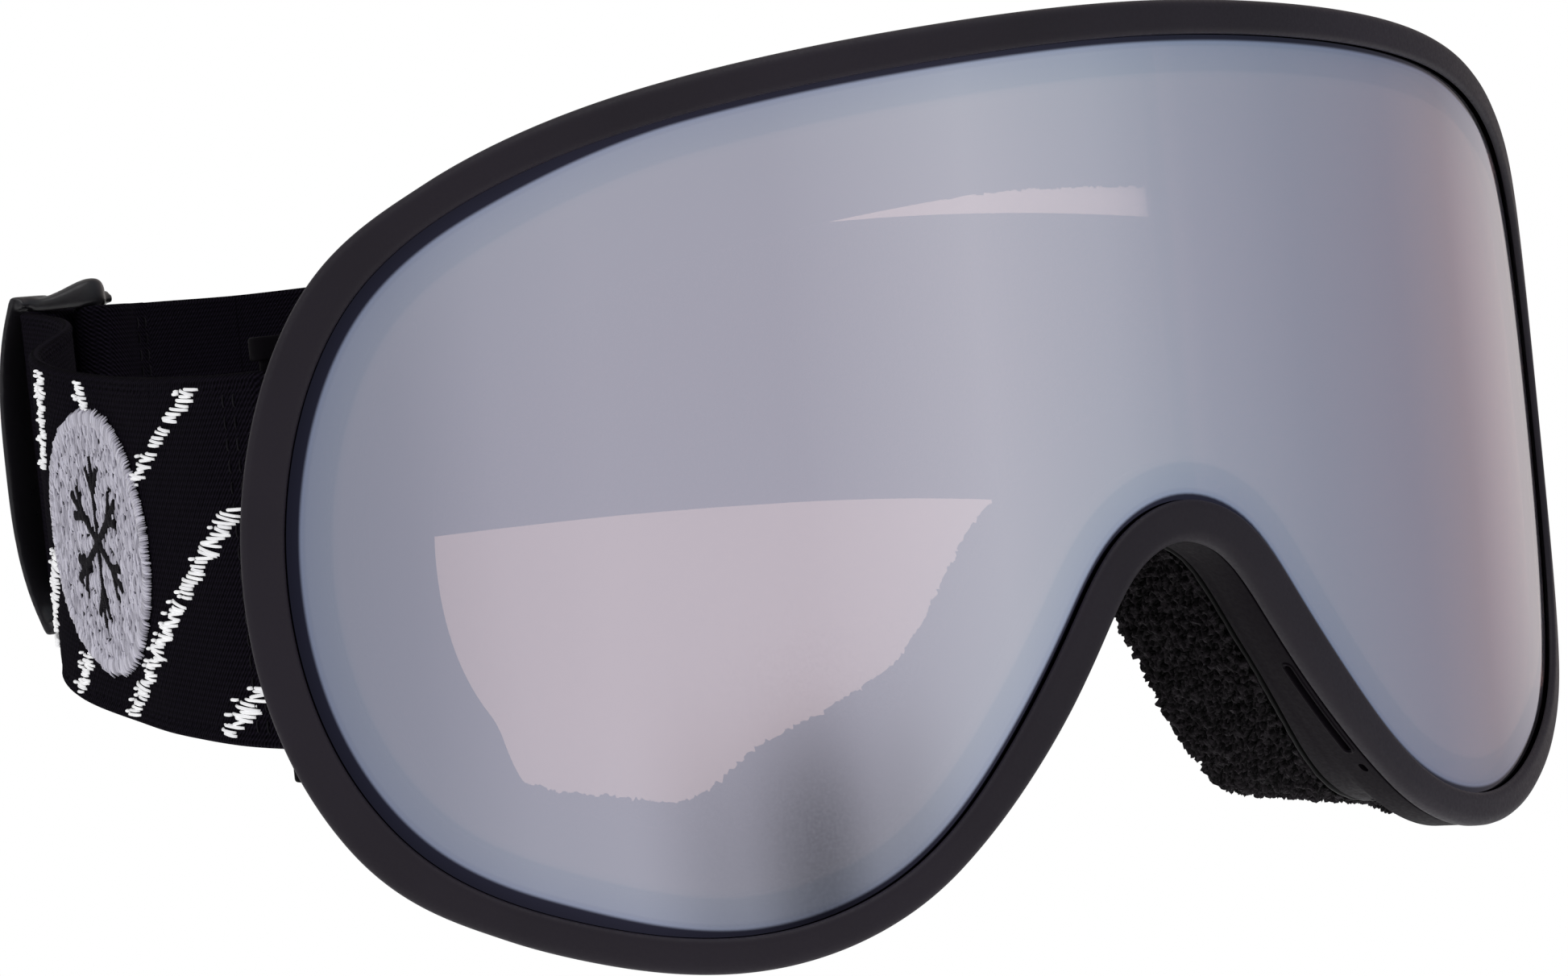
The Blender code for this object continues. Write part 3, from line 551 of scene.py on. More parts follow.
def web_material(name, base):
    """Knitted elastic: a fine twill over lengthwise ribs, in the webbing's own
    lengthwise and crosswise millimetres."""
    m, nt, b = material(name)
    at = nt.nodes.new("ShaderNodeAttribute")
    at.attribute_name = "weave"
    sep = nt.nodes.new("ShaderNodeSeparateXYZ")
    link(nt, at.outputs["Vector"], sep.inputs[0])
    u, v = sep.outputs[0], sep.outputs[1]
    diag = mathn(nt, 'ADD', mathn(nt, 'MULTIPLY', u, 2 * math.pi / 0.74), mathn(nt, 'MULTIPLY', v, 2 * math.pi / 0.62))
    rib = mathn(nt, 'SINE', mathn(nt, 'MULTIPLY', v, 2 * math.pi / 0.62))
    tw = mathn(nt, 'SINE', diag)
    pick = mathn(nt, 'SINE', mathn(nt, 'MULTIPLY', u, 2 * math.pi / 0.50))
    h = mathn(nt, 'ADD', mathn(nt, 'MULTIPLY', tw, 0.30), mathn(nt, 'ADD', mathn(nt, 'MULTIPLY', rib, 0.12),
                                                            mathn(nt, 'MULTIPLY', mathn(nt, 'MULTIPLY', pick, rib), 0.18)))
    h = mathn(nt, 'ADD', h, 0.5)
    fuzz = noise(nt, 900.0, 3, 0.7)
    mixed = mathn(nt, 'ADD', mathn(nt, 'MULTIPLY', h, 0.75), mathn(nt, 'MULTIPLY', fuzz, 0.25))
    # painted shade and light: the knit's low parts are coloured darker and its raised parts lighter, following the
    # weave relief
    lo, hi = tuple(c * 0.18 for c in base), tuple(c * 2.3 for c in base)
    link(nt, ramp(nt, mixed, [(0.2, lo), (0.55, base), (0.9, hi)]), b.inputs["Base Color"])
    setb(b, rough=0.92, spec=0.012)
    bump(nt, mixed, 0.9, 0.00022, b.inputs["Normal"])
    return m


def thread_material(name, lo, hi, rough, spec=0.5, sheen=0.15):
    m, nt, b = material(name)
    at = nt.nodes.new("ShaderNodeAttribute")
    at.attribute_name = "tone"
    link(nt, ramp(nt, at.outputs["Fac"], [(0.0, lo), (1.0, hi)]), b.inputs["Base Color"])
    setb(b, rough=rough, spec=spec, sheen=sheen)
    bump(nt, noise(nt, 2600.0, 2), 0.35, 0.00008, b.inputs["Normal"])
    return m


M_GASKET = gasket_material()
M_FILM = film_material()
M_WEB = web_material("strap_knitted_elastic", (0.0058, 0.0046, 0.0078))
M_GREY = thread_material("badge_silver_grey_thread", (0.36, 0.345, 0.41), (0.80, 0.78, 0.88), 0.38)
M_WHITE = thread_material("silver_thread_painted_glow", (0.80, 0.80, 0.82), (1.0, 1.0, 1.0), 0.30)
# painted light: a faint white emission makes the bright thread glow brighter than its lighting would; the grey thread
# gets none
for mt, painted_glow in ((M_WHITE, 0.24), (M_GREY, 0.0)):
    bs = next(x for x in mt.node_tree.nodes if x.type == 'BSDF_PRINCIPLED')
    bs.inputs["Emission Color"].default_value = (1.0, 1.0, 1.0, 1.0)
    bs.inputs["Emission Strength"].default_value = painted_glow        # painted glow on the bright thread
M_BLACK = thread_material("black_sewing_thread", (0.0050, 0.0042, 0.0062), (0.0125, 0.0110, 0.0145), 0.6, 0.06, 0.0)

# ============================================================ lens stack
LP = Loop(1200)


def lens_sheet(name, edge, d0, d1, cols, rows, mats):
    p = LP.p + LP.nm * edge
    a, b = sorted((int(np.argmin(p[:, 0])), int(np.argmax(p[:, 0]))))
    c1, c2 = p[a:b + 1], np.vstack([p[b:], p[:a + 1]])
    c1, c2 = c1[np.argsort(c1[:, 0])], c2[np.argsort(c2[:, 0])]
    top, bot = (c1, c2) if c1[:, 1].mean() > c2[:, 1].mean() else (c2, c1)
    lo, hi = top[0, 0], top[-1, 0]
    th = np.linspace(-math.pi / 2, math.pi / 2, cols + 1)
    s = (lo + hi) / 2 + (hi - lo) / 2 * np.sin(th) * 0.99995
    zt, zb = np.interp(s, top[:, 0], top[:, 1]), np.interp(s, bot[:, 0], bot[:, 1])
    t = np.linspace(0, 1, rows + 1)
    S = np.repeat(s[:, None], rows + 1, 1)
    Z = zb[:, None] + (zt - zb)[:, None] * t
    n, m = S.shape
    front, back = on_lens(S, Z, d0).reshape(-1, 3), on_lens(S, Z, d1).reshape(-1, 3)
    g = grid_faces(n, m, False, False)
    k = n * m
    ring = np.concatenate([np.arange(0, m - 1), np.arange(m - 1, n * m - 1, m), np.arange(n * m - 1, (n - 1) * m, -1), np.arange((n - 1) * m, 0, -m)])
    nxt = np.roll(ring, -1)
    sides = np.stack([ring, ring + k, nxt + k, nxt], 1)
    # distance from the visible edge, which the materials read
    q = np.stack([S.ravel(), Z.ravel()], 1)
    dist = np.empty(len(q))
    for i in range(0, len(q), 4000):
        near = ((q[i:i + 4000, None] - LP.p[None]) ** 2).sum(-1).argmin(1)
        r = q[i:i + 4000]
        best = np.full(len(r), 1e9)
        for step in (-1, 1):
            a0, b0 = LP.p[near], LP.p[(near + step) % len(LP.p)]
            e = b0 - a0
            k0 = np.clip(((r - a0) * e).sum(1) / np.maximum((e * e).sum(1), 1e-12), 0, 1)[:, None]
            best = np.minimum(best, np.linalg.norm(r - a0 - k0 * e, axis=1))
        dist[i:i + 4000] = best
    inside = np.zeros(len(q), bool)
    x2, y2 = LP.p.T
    x1, y1 = np.roll(x2, 1), np.roll(y2, 1)
    for xa, ya, xb, yb in zip(x1, y1, x2, y2):
        if ya != yb:
            c = ((ya > q[:, 1]) != (yb > q[:, 1])) & (q[:, 0] < (xb - xa) * (q[:, 1] - ya) / (yb - ya) + xa)
            inside ^= c
    dist = np.where(inside, dist, -dist)
    dist = dist - 0.75 * smooth((abs(q[:, 0]) - 52.0) / 22.0)     # at the temples the painted dark edge band (groove shadow and rim-lip reflection) reaches up to 0.75 mm further in
    ob = build(name, np.vstack([front, back]), [g[:, ::-1], g + k, sides], mats,
               [np.zeros(len(g)), np.ones(len(g)), np.ones(len(sides))], 40.0, {"edge_mm": np.concatenate([dist, dist])})
    return volume_sign(ob)


lens = lens_sheet("lens_outer_mirrored", 2.9, 0.0, LENS_T, 300, 56, [M_MIRROR, M_LENS_BACK])
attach(lens, "goggle_frame"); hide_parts("outer_lens")
inner = lens_sheet("lens_inner_clear", -0.4, INNER[0], INNER[1], 260, 40, [M_INNER, M_INNER])
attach(inner, "goggle_frame"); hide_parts("inner_lens")

one = np.ones(LP.n)
gasket = sweep("lens_gasket", LP, [(-0.4 * one, SPACER[0] + 0.25), (-0.62 * one, SPACER[0]), (-2.98 * one, SPACER[0]),
                                   (-3.2 * one, SPACER[0] + 0.25), (-3.2 * one, SPACER[1] - 0.25), (-2.98 * one, SPACER[1]),
                                   (-0.62 * one, SPACER[1]), (-0.4 * one, SPACER[1] - 0.25)], [M_GASKET], 60)
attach(gasket, "goggle_frame"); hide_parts("lens_spacer_gasket")

# ============================================================ front rim
w = LP.w
rim = sweep("rim_front", LP, [
    (0.6 * one, -0.3 * one), (0.60 * one, -0.52 * one), (0.68 * one, -0.72 * one), (0.86 * one, -0.88 * one), (1.12 * one, -0.975 * one),
    (1.5 * one, -1.0 * one), (2.2 * one, -1.0 * one), (w - 1.5, -1.0 * one), (w - 1.0, -0.985 * one), (w - 0.62, -0.90 * one), (w - 0.32, -0.70 * one),
    (w - 0.12, -0.42 * one), (w - 0.02, -0.05 * one), (w, 0.35 * one), (w, 0.78 * one), (w - 0.07, 0.92 * one), (w - 0.22, 1.0 * one),
    (3.4 * one, 1.0 * one), (3.2 * one, 0.8 * one), (3.2 * one, -0.3 * one)], [M_RIM], 50)
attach(rim, "goggle_frame"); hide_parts("front_rim")

# ============================================================ frame body
LB = Loop(720)
ob1 = np.ones(LB.n)
o = LB.w - 0.15
side = LB.side
body = sweep("frame_body_soft", LB, [
    (0.0 * ob1, BODY_D * ob1), (o - 0.25, BODY_D * ob1), (o - 0.06, (BODY_D + 0.08) * ob1), (o, (BODY_D + 0.28) * ob1),
    (o, (STEP_D - 0.9) * ob1), (o - 0.04 * side, STEP_D - 0.5 + 0.0 * side),
    (LB.wall * 0.5 + (o - 0.1) * 0.5, STEP_D + 0.2 + 0.7 * side), (LB.wall, STEP_D + 0.5 + 1.6 * side),
    (LB.wall, LB.depth - 0.45), (LB.wall - 0.12, LB.depth - 0.12), (LB.wall - 0.45, LB.depth),
    (LB.inner + 0.2, LB.depth), (LB.inner, LB.depth - 0.2), (LB.inner, LB.depth - 1.0), (LB.inner + 0.2, LB.depth - FLANGE_T),
    (LB.wall - WALL - 0.3, LB.depth - FLANGE_T), (LB.wall - WALL, LB.depth - FLANGE_T - 0.3),
    (LB.wall - WALL, STEP_D + 0.25), (LB.wall - WALL - 0.2, STEP_D * ob1), (0.0 * ob1, (STEP_D - 0.3) * ob1)], [M_FRAME], None)


def prism_rounded(name, plan, z0, z1, r):
    """Upright plate from a plan outline, its rims rounded."""
    pts = np.array(plan, float)
    c = pts.mean(0)
    rings = []
    for k in range(5):
        a = k / 4 * math.pi / 2
        rings.append((r * (1 - math.sin(a)), z0 + r * (1 - math.cos(a))))
    rings = rings + [(ins, z0 + z1 - z) for ins, z in reversed(rings)]
    v = []
    for ins, z in rings:
        d = pts - c
        q = c + d * (1 - ins / np.maximum(np.linalg.norm(d, axis=1), 1e-6))[:, None]
        v.append(np.column_stack([q, np.full(len(q), z)]))
    n = len(pts)
    return np.array(v), n


def solid_rings(name, v, mats=(), angle=None, attrs=None):
    """v (rings, points, 3): a tube with n-gon ends."""
    k, n = v.shape[:2]
    caps = [np.arange(n)[None, :], (np.arange(n) + (k - 1) * n)[None, ::-1]]
    return volume_sign(build(name, v.reshape(-1, 3), [grid_faces(k, n, False, True), *caps], mats, angle=angle, attrs=attrs))


for sgn in (-1, 1):
    for zc in (-1, 1):
        lo, hi = sorted((PIVOT_Z + zc * 20.0, PIVOT_Z + zc * 22.4))
        root = 80.8 if zc > 0 else 86.0
        tip = [(97.0 + 2.3 * math.sin(a), 10.9 - 2.3 * math.cos(a)) for a in np.linspace(0, math.pi, 19)]
        plan = [(root, 8.6), (root + 5, 8.6), *tip, (root + 5, 13.2), (root, 13.2)]
        v, n = prism_rounded("arm", plan, lo, hi, 0.35)
        arm = np.array([on_lens(sgn * r[:, 0], r[:, 2], r[:, 1]) for r in v])
        boolean(body, solid_rings("arm", arm), 'UNION')
    a = np.linspace(0, 2 * math.pi, 40, endpoint=False)
    bar = np.array([np.column_stack([sgn * BX + BAR_R * np.cos(a), BY + BAR_R * np.sin(a), np.full(40, z)])
                    for z in np.linspace(PIVOT_Z - 21, PIVOT_Z + 21, 8)])
    boolean(body, solid_rings("bar", bar), 'UNION')


def slot_cutter(mid, length, e0, e1, d0, d1, cap=8):
    """A slot with round ends, bent along the frame's outline."""
    r = (d1 - d0) / 2
    dc = (d0 + d1) / 2
    half = length / 2 - r
    us = [half + r * math.cos(t) for t in np.linspace(math.pi / 2, -math.pi / 2, cap)]
    ds = [dc + r * math.sin(t) for t in np.linspace(math.pi / 2, -math.pi / 2, cap)]
    n_mid = max(2, int(length / 1.5))
    plan = list(zip(us, ds)) + [(u, d0) for u in np.linspace(half, -half, n_mid)[1:-1]]
    plan += [(-u, 2 * dc - d) for u, d in zip(us, ds)] + [(u, d1) for u in np.linspace(-half, half, n_mid)[1:-1]]
    plan = np.array(plan)
    rings = []
    for e in (e0, (e0 + e1) / 2, e1):
        arc = mid + plan[:, 0]
        ps, pz = LB.at(arc, LB.s), LB.at(arc, LB.z)
        ns, nz = LB.at(arc, LB.nm[:, 0]), LB.at(arc, LB.nm[:, 1])
        rings.append(on_lens(ps + e * ns, pz + e * nz, plan[:, 1]))
    return np.array(rings)


def bead(mid, length, d0, d1, e_at, r):
    """Raised lip round a slot: a thin closed tube along its outline."""
    h = (d1 - d0) / 2
    dc = (d0 + d1) / 2
    half = length / 2 - h
    path = [(half + h * math.cos(t), dc + h * math.sin(t)) for t in np.linspace(math.pi / 2, -math.pi / 2, 14)]
    path += [(u, d0) for u in np.linspace(half, -half, 24)[1:-1]]
    path += [(-half - h * math.cos(t), dc - h * math.sin(t)) for t in np.linspace(math.pi / 2, -math.pi / 2, 14)]
    path += [(u, d1) for u in np.linspace(-half, half, 24)[1:-1]]
    path = np.array(path)
    cen = path.mean(0)
    rows = []
    for u, d in path:
        k = np.array([u - np.clip(u, -half, half), d - dc])
        k = k / max(np.linalg.norm(k), 1e-6)
        row = []
        for t in np.linspace(0, 2 * math.pi, 8, endpoint=False):
            uu, dd, ee = u + k[0] * r * math.cos(t), d + k[1] * r * math.cos(t), r * math.sin(t)
            arc = mid + uu
            ps, pz = float(LB.at(arc, LB.s)), float(LB.at(arc, LB.z))
            ns, nz = float(LB.at(arc, LB.nm[:, 0])), float(LB.at(arc, LB.nm[:, 1]))
            e = float(LB.at(arc, LB.w)) - 0.15 + e_at + ee
            row.append(on_lens(ps + e * ns, pz + e * nz, dd))
        rows.append(row)
    return np.array(rows)


for s0 in (-60, -40, -20, 0, 20, 40, 60):
    boolean(body, solid_rings("slot", slot_cutter(LB.arc_at(s0, True), 13.0, 1.2, 6.0, 6.2, 8.8)), 'DIFFERENCE')
for s0 in (42, 55, 68):
    for sgn in (-1, 1):
        boolean(body, solid_rings("slot", slot_cutter(LB.arc_at(sgn * s0, False), 8.0, -1.6, 6.0, 5.9, 7.4)), 'DIFFERENCE')
for sgn in (-1, 1):
    mid = LB.arc_at(sgn * 24.4, False)
    rows = bead(mid, 14.0, 1.84, 3.06, -0.02, 0.17)
    lip = volume_sign(build("lip", rows.reshape(-1, 3), [grid_faces(rows.shape[0], 8, True, True)]))
    boolean(body, lip, 'UNION')
    boolean(body, solid_rings("slot", slot_cutter(mid, 13.5, 3.4, 6.5, 2.0, 2.9)), 'DIFFERENCE')
    boolean(body, solid_rings("hole", slot_cutter(LB.arc_at(sgn * 30.8, False), 1.4, 3.2, 6.5, 2.1, 2.9)), 'DIFFERENCE')
body.data.shade_smooth()
body.data.set_sharp_from_angle(angle=math.radians(32))
body.data.materials.clear()
body.data.materials.append(M_FRAME)
body.data.materials.append(M_ANCHOR_PAINTED_SHADE)
cen = np.empty(len(body.data.polygons) * 3)
body.data.polygons.foreach_get("center", cen)
cen = cen.reshape(-1, 3) * 1000.0 + (0.0, 40.0, 0.0)
cs = R_LENS * np.arctan2(abs(cen[:, 0]), R_LENS - cen[:, 1])
cd = R_LENS - np.hypot(cen[:, 0], R_LENS - cen[:, 1])
cz = abs(cen[:, 2] - PIVOT_Z)
# faces of the anchor arms and bars, which take the painted-shade material
painted_shade_anchor_faces = (cz > 19.9) & (cz < 22.5) & (cs > 88.6) & (cd > 8.5) & (cd < 13.3)
painted_shade_anchor_faces |= (np.hypot(abs(cen[:, 0]) - BX, cen[:, 1] - BY) < BAR_R + 0.15) & (cz < 21.2)
body.data.polygons.foreach_set("material_index", painted_shade_anchor_faces.astype(np.int32))
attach(body, "goggle_frame"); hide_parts("frame_body")


# ============================================================ vent filters
def strip(name, s0, s1, upper, rear, node):
    a0, a1 = LB.arc_at(s0, upper), LB.arc_at(s1, upper)
    if abs(a1 - a0) > LB.total / 2:
        if a1 < a0:
            a1 += LB.total
        else:
            a0 += LB.total
    n = int(abs(a1 - a0) / 0.5)
    arc = np.linspace(a0, a1, n)
    e1 = LB.at(arc, LB.wall) - WALL - GAP
    d0, d1 = STEP_D + 0.4, rear
    k = max(6, int((d1 - d0) / 0.45))
    prof = [(0.0, d) for d in np.linspace(d0, d1, k)] + [(-q, d1) for q in (0.5, 1.0, 1.5)] \
        + [(-2.0, d) for d in np.linspace(d1, d0, k)] + [(-q, d0) for q in (1.5, 1.0, 0.5)]
    ps, pz = LB.at(arc, LB.s), LB.at(arc, LB.z)
    ns, nz = LB.at(arc, LB.nm[:, 0]), LB.at(arc, LB.nm[:, 1])
    v = np.stack([on_lens(ps + (e1 + e) * ns, pz + (e1 + e) * nz, d) for e, d in prof], 1)
    flat = v.reshape(-1, 3)
    f1, f2 = worley(flat, 0.9, 11)
    pore = smooth((f2 - f1 - 0.08) / 0.5)
    mid = v.mean(1, keepdims=True)
    v = v + (mid - v) * (0.16 * pore.reshape(v.shape[:2]))[..., None]
    ob = solid_rings(name, v, [M_VENT], None, {"pore": pore})
    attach(ob, "goggle_frame"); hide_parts(node)


strip("vent_filter_brow", -68, 68, True, 9.4, "brow_vent_foam")
strip("vent_filter_cheek_right", -73, -38, False, 7.5, "cheek_vent_foam_right")
strip("vent_filter_cheek_left", 38, 73, False, 7.5, "cheek_vent_foam_left")

# ============================================================ face seal
# The film squeezes out a little, unevenly, along both edges of the foam.
arc = LP.arc[:-1]
ooze = 0.10 * np.sin(arc * 0.61) * np.sin(arc * 0.173 + 1.0) + 0.08 * np.sin(arc * 2.1 + 0.4) * np.sin(arc * 0.39)
d0, d1 = LP.depth + GAP, LP.depth + GAP + ADH_T
eo, ei = LP.wall - 0.1 + 0.12 * (0.5 + ooze * 4), LP.inner + 0.4
film = sweep("foam_adhesive_film", LP, [(eo - 0.12, d0), (eo, d0 + 0.12), (eo, d1 - 0.12), (eo - 0.12, d1), (ei + 0.1, d1), (ei, d1 - 0.1), (ei, d0 + 0.1), (ei + 0.1, d0)],
             [M_FILM], 60)
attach(film, "goggle_frame"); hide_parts("foam_adhesive")

LF = Loop(1500)
fs, fz = LF.s, LF.z
fd = LF.depth + 2 * GAP + ADH_T
fo = on_lens(fs + LF.wall * LF.nm[:, 0], fz + LF.wall * LF.nm[:, 1], fd)
fe = LF.inner + 0.3
fi = on_lens(fs + fe * LF.nm[:, 0], fz + fe * LF.nm[:, 1], fd)
fe = fe + 4.5 * LF.nose                 # beside the nose the foam narrows as it goes back
fn = on_lens(fs + fe * LF.nm[:, 0], fz + fe * LF.nm[:, 1], fd)
corner = smooth((abs(fs) - 34.0) / 26.0) * smooth((abs(fz) - 10.0) / 16.0)


def rear(p, grow, back):
    x = p[:, 0] * (1 + 0.035 * LF.side * grow - 0.055 * corner)
    beside = 3.2 * np.exp(-((abs(x) - 29.0) / 14.0) ** 2) * smooth((-p[:, 2] - 8.0) / 16.0)
    return np.stack([x, face_y(x) + beside - back, p[:, 2] * (1 - 0.012 * (1 - LF.nose) - 0.085 * corner)], 1)


ro, ri = rear(fo, 1.0, 0.0), rear(fn, 0.6, 8.0 * LF.nose)
NW, NE, NC = ((84, 5, 30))


def mix(a, b, t):
    return a * (1 - t) + b * t


cols = []
for t in np.linspace(0, 1, 7)[:-1]:                      # front face, under the film
    cols.append(mix(fi, fo, t))
mo, mi = mix(fo, ro, 0.93), mix(fi, ri, 0.93)
e_o, e_i = mix(ro, ri, 0.07), mix(ro, ri, 0.93)
for t in np.linspace(0, 1, NW)[:-1]:                     # outer side
    cols.append(mix(fo, mo, t))
for t in np.linspace(0, 1, NE)[:-1]:                     # rounded outer rear edge
    cols.append(mix(mix(mo, ro, t), mix(ro, e_o, t), t))
for t in np.linspace(0, 1, NC)[:-1]:                     # rear face
    cols.append(mix(e_o, e_i, t))
for t in np.linspace(0, 1, NE)[:-1]:
    cols.append(mix(mix(e_i, ri, t), mix(ri, mi, t), t))
for t in np.linspace(0, 1, NW)[:-1]:                     # inner side
    cols.append(mix(mi, fi, t))
V = np.stack(cols, 1)
n, m = V.shape[:2]
du = np.roll(V, -1, 0) - np.roll(V, 1, 0)
dv = np.roll(V, -1, 1) - np.roll(V, 1, 1)
nv = np.cross(du, dv)
nv /= np.maximum(np.linalg.norm(nv, axis=-1, keepdims=True), 1e-9)
cen = V.mean(1, keepdims=True)
if ((V - cen) * nv).sum(-1).mean() < 0:
    nv = -nv
flat = V.reshape(-1, 3)
f1, f2 = worley(flat, 0.95, 5)
strut = f2 - f1
pore = smooth((strut - 0.05) / 0.34)
lump = value_noise(flat, 6.0, 3) - 0.5
tuft = value_noise(flat, 1.7, 17) - 0.5
jag = hashed(np.floor(flat / 0.45 + 4096).astype(np.int64), 9)[:, 0]
proud = np.repeat(smooth((46.0 - abs(fs)) / 8.0) * smooth((-fz - 4.0) / 8.0), m)      # pushed out beside the nose
sink = 0.98 * pore + 0.42 * (jag - 0.5) * (1 - pore) + 0.26 * lump + 0.55 * tuft + 0.04 - 0.44 * proud
hold = np.ones((n, m))
hold[:, :6] = 0.0
hold[:, 6:9] = 0.4
V = V - nv * (sink.reshape(n, m) * hold)[..., None]
foam = volume_sign(build("face_foam_ring", V.reshape(-1, 3), [grid_faces(n, m, True, True)], [M_FOAM], attrs={"pore": pore}))
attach(foam, "goggle_frame"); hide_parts("face_foam")

# ============================================================ webbing
STEP = 0.42
COLS = 78


def weave_height(u, v, edge):
    """Relief of the knit: selvedge cord, its groove and tack stitches, twill."""
    bodyw = smooth((edge - 1.7) / 0.5)
    cord = 0.10 * np.exp(-((edge - 0.62) / 0.42) ** 2)
    groove = -0.13 * np.exp(-((edge - 1.45) / 0.22) ** 2)
    tacks = 0.09 * np.exp(-((edge - 1.45) / 0.22) ** 2) * (np.sin(2 * math.pi * u / 1.5) > 0.1)
    tw = 0.030 * np.sin(2 * math.pi * (u / 1.72 + v / 1.45))
    cordrib = 0.03 * np.sin(2 * math.pi * u / 1.0) * (1 - bodyw)
    return cord + groove + tacks + cordrib + tw * bodyw - 0.05


def webbing(name, path, thick=STRAP_T, height=STRAP_H, u0=0.0, step=None, ends=(0.0, 0.0), mats=None):
    """Upright elastic along a plan route, with relief on both faces."""
    total = arcs(path)[-1]
    n = max(8, int(total / (step or STEP)))
    p = resample(path, n)
    t = tangents(p)
    nrm = np.stack([t[:, 1], -t[:, 0]], 1)
    u = u0 + np.linspace(0, total, n)
    v = np.concatenate([[0.10, 0.34], np.linspace(0.62, height - 0.62, COLS), [height - 0.34, height - 0.10]])
    edge = np.minimum(v, height - v)
    U, Vv = np.meshgrid(u, v, indexing='ij')
    E = np.minimum(Vv, height - Vv)
    half = thick / 2 * np.sqrt(np.clip(1 - np.clip(1 - edge / 0.62, 0, 1) ** 2, 0.02, 1))
    cols, coords = [], []
    for sg in (1, -1):
        off = half[None, :] + np.where(E > 0.3, weave_height(U * 1.0 + (0 if sg > 0 else 0.35), Vv, E), 0.0)
        q = np.empty((n, len(v), 3))
        q[..., 0] = p[:, None, 0] + sg * off * nrm[:, None, 0]
        q[..., 1] = p[:, None, 1] + sg * off * nrm[:, None, 1]
        q[..., 2] = p[:, None, 2] - height / 2 + Vv
        c = np.stack([U, Vv + (0 if sg > 0 else 60.0), np.zeros_like(U)], -1)
        if sg < 0:
            q, c = q[:, ::-1], c[:, ::-1]
        cols.append(q)
        coords.append(c)
    tip_t = np.stack([p[:, 0], p[:, 1], p[:, 2] + height / 2], -1)[:, None]
    tip_b = np.stack([p[:, 0], p[:, 1], p[:, 2] - height / 2], -1)[:, None]
    ct = np.stack([u, np.full(n, height), np.zeros(n)], -1)[:, None]
    cb = np.stack([u, np.zeros(n), np.zeros(n)], -1)[:, None]
    Vx = np.concatenate([cols[0], tip_t, cols[1], tip_b], 1)
    Cx = np.concatenate([coords[0], ct, coords[1], cb], 1)
    m = Vx.shape[1]
    k = len(v)
    # end caps join each face's column to the one behind it
    cap = []
    for row, rev in ((0, False), (n - 1, True)):
        b = row * m
        f = [(b + j, b + j + 1, b + 2 * k - j - 1, b + 2 * k - j) for j in range(k - 1)]
        tri_t = [(b + k - 1, b + k, b + k + 1)]
        tri_b = [(b + 2 * k, b + 2 * k + 1, b)]
        f = np.array(f)
        tr = np.array(tri_t + tri_b)
        cap += [f[:, ::-1] if rev else f, tr[:, ::-1] if rev else tr]
    ob = build(name, Vx.reshape(-1, 3), [grid_faces(n, m, False, True)] + cap, mats or [M_WEB], angle=70, attrs={"weave": Cx.reshape(-1, 3)})
    return volume_sign(ob)


ra, rarc, rin = wrap(-1, 17.0)
la, larc, lin = wrap(1, 40.0)
s_end = station(9.0 + 5.0 + SLIDE_TRAVEL + 1.0)
s_sewn = station(14.0)
rest = S_ROUTE[-1] - S_ROUTE
INNER_ROUTE = offset_route(ROUTE, LAYER + (2 * OUT - LAYER) * (1 - smooth(rest / 15.0)))
mid = ROUTE[(ROUTE[:, 1] >= BY + 40)]
back = INNER_ROUTE[(S_ROUTE > s_end) & (INNER_ROUTE[:, 1] > BY + 41)][::-1]
path = np.vstack([rin[::-1], rarc[::-1], ra[::-1], mid, la, larc, lin])
keep = np.concatenate([[True], np.linalg.norm(np.diff(path, axis=0), axis=1) > 0.02])
path = path[keep]
path = np.vstack([path, back])
strap = webbing("strap_elastic", path)
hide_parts("strap_band", "strap_return_layer", "strap_loop_right", "strap_loop_left")
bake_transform(strap)

slack_path = INNER_ROUTE[(S_ROUTE > s_sewn - 0.1) & (S_ROUTE < s_end + 0.05)][::-1]
slack = webbing("strap_slack", slack_path, u0=arcs(path)[-1])
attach(slack, "strap"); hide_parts("strap_return_slack")
e = INNER_ROUTE[np.argmin(abs(S_ROUTE - s_end))]
tuple(to_world(e))
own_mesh(slack)

# ---- sewn end round the slider's centre bar
V_IN, V_OUT, PITCH, SLOT_HALF, RAIL, BOW, HUMP, BLADE = -3.75, 1.25, 7.0, 20.7, 1.3, 3.4, 2.1, 4.2
WR = 1.1 + GAP + STRAP_T / 2
pts = [(14.0, -LAYER), (10.0, -LAYER), (6.0, -LAYER - 0.02), (3.0, V_IN + WR + 0.05), (0.0, V_IN + WR)]
for k in range(1, 8):
    a = math.pi / 2 + math.pi * k / 8
    pts.append((WR * math.cos(a), V_IN + WR * math.sin(a)))
pts += [(0.0, V_IN - WR), (3.0, V_IN - WR + 0.15), (6.5, V_IN - 0.95), (9.5, -LAYER - STRAP_T - 0.5),
        (12.5, -LAYER - STRAP_T - 0.35)]
sewn_path = spline(np.array([(*along(u, v), STRAP_Z_BACK) for u, v in pts]), 400, False)
sewn = webbing("strap_sewn_loop", sewn_path, u0=arcs(path)[-1] + 23.0)
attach(sewn, "adjuster"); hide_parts("strap_sewn_end")


# ============================================================ thread
def surface_frame(route, s, side_sign):
    """Point and outward normal on a route at arc lengths s."""
    sr = arcs(route)
    p = np.stack([np.interp(s, sr, route[:, k]) for k in range(3)], -1)
    t = tangents(route)
    tx, ty = np.interp(s, sr, t[:, 0]), np.interp(s, sr, t[:, 1])
    ln = np.sqrt(tx ** 2 + ty ** 2)
    tx, ty = tx / ln, ty / ln
    nrm = np.stack([-ty, tx, np.zeros_like(tx)], -1) * side_sign
    return p, nrm


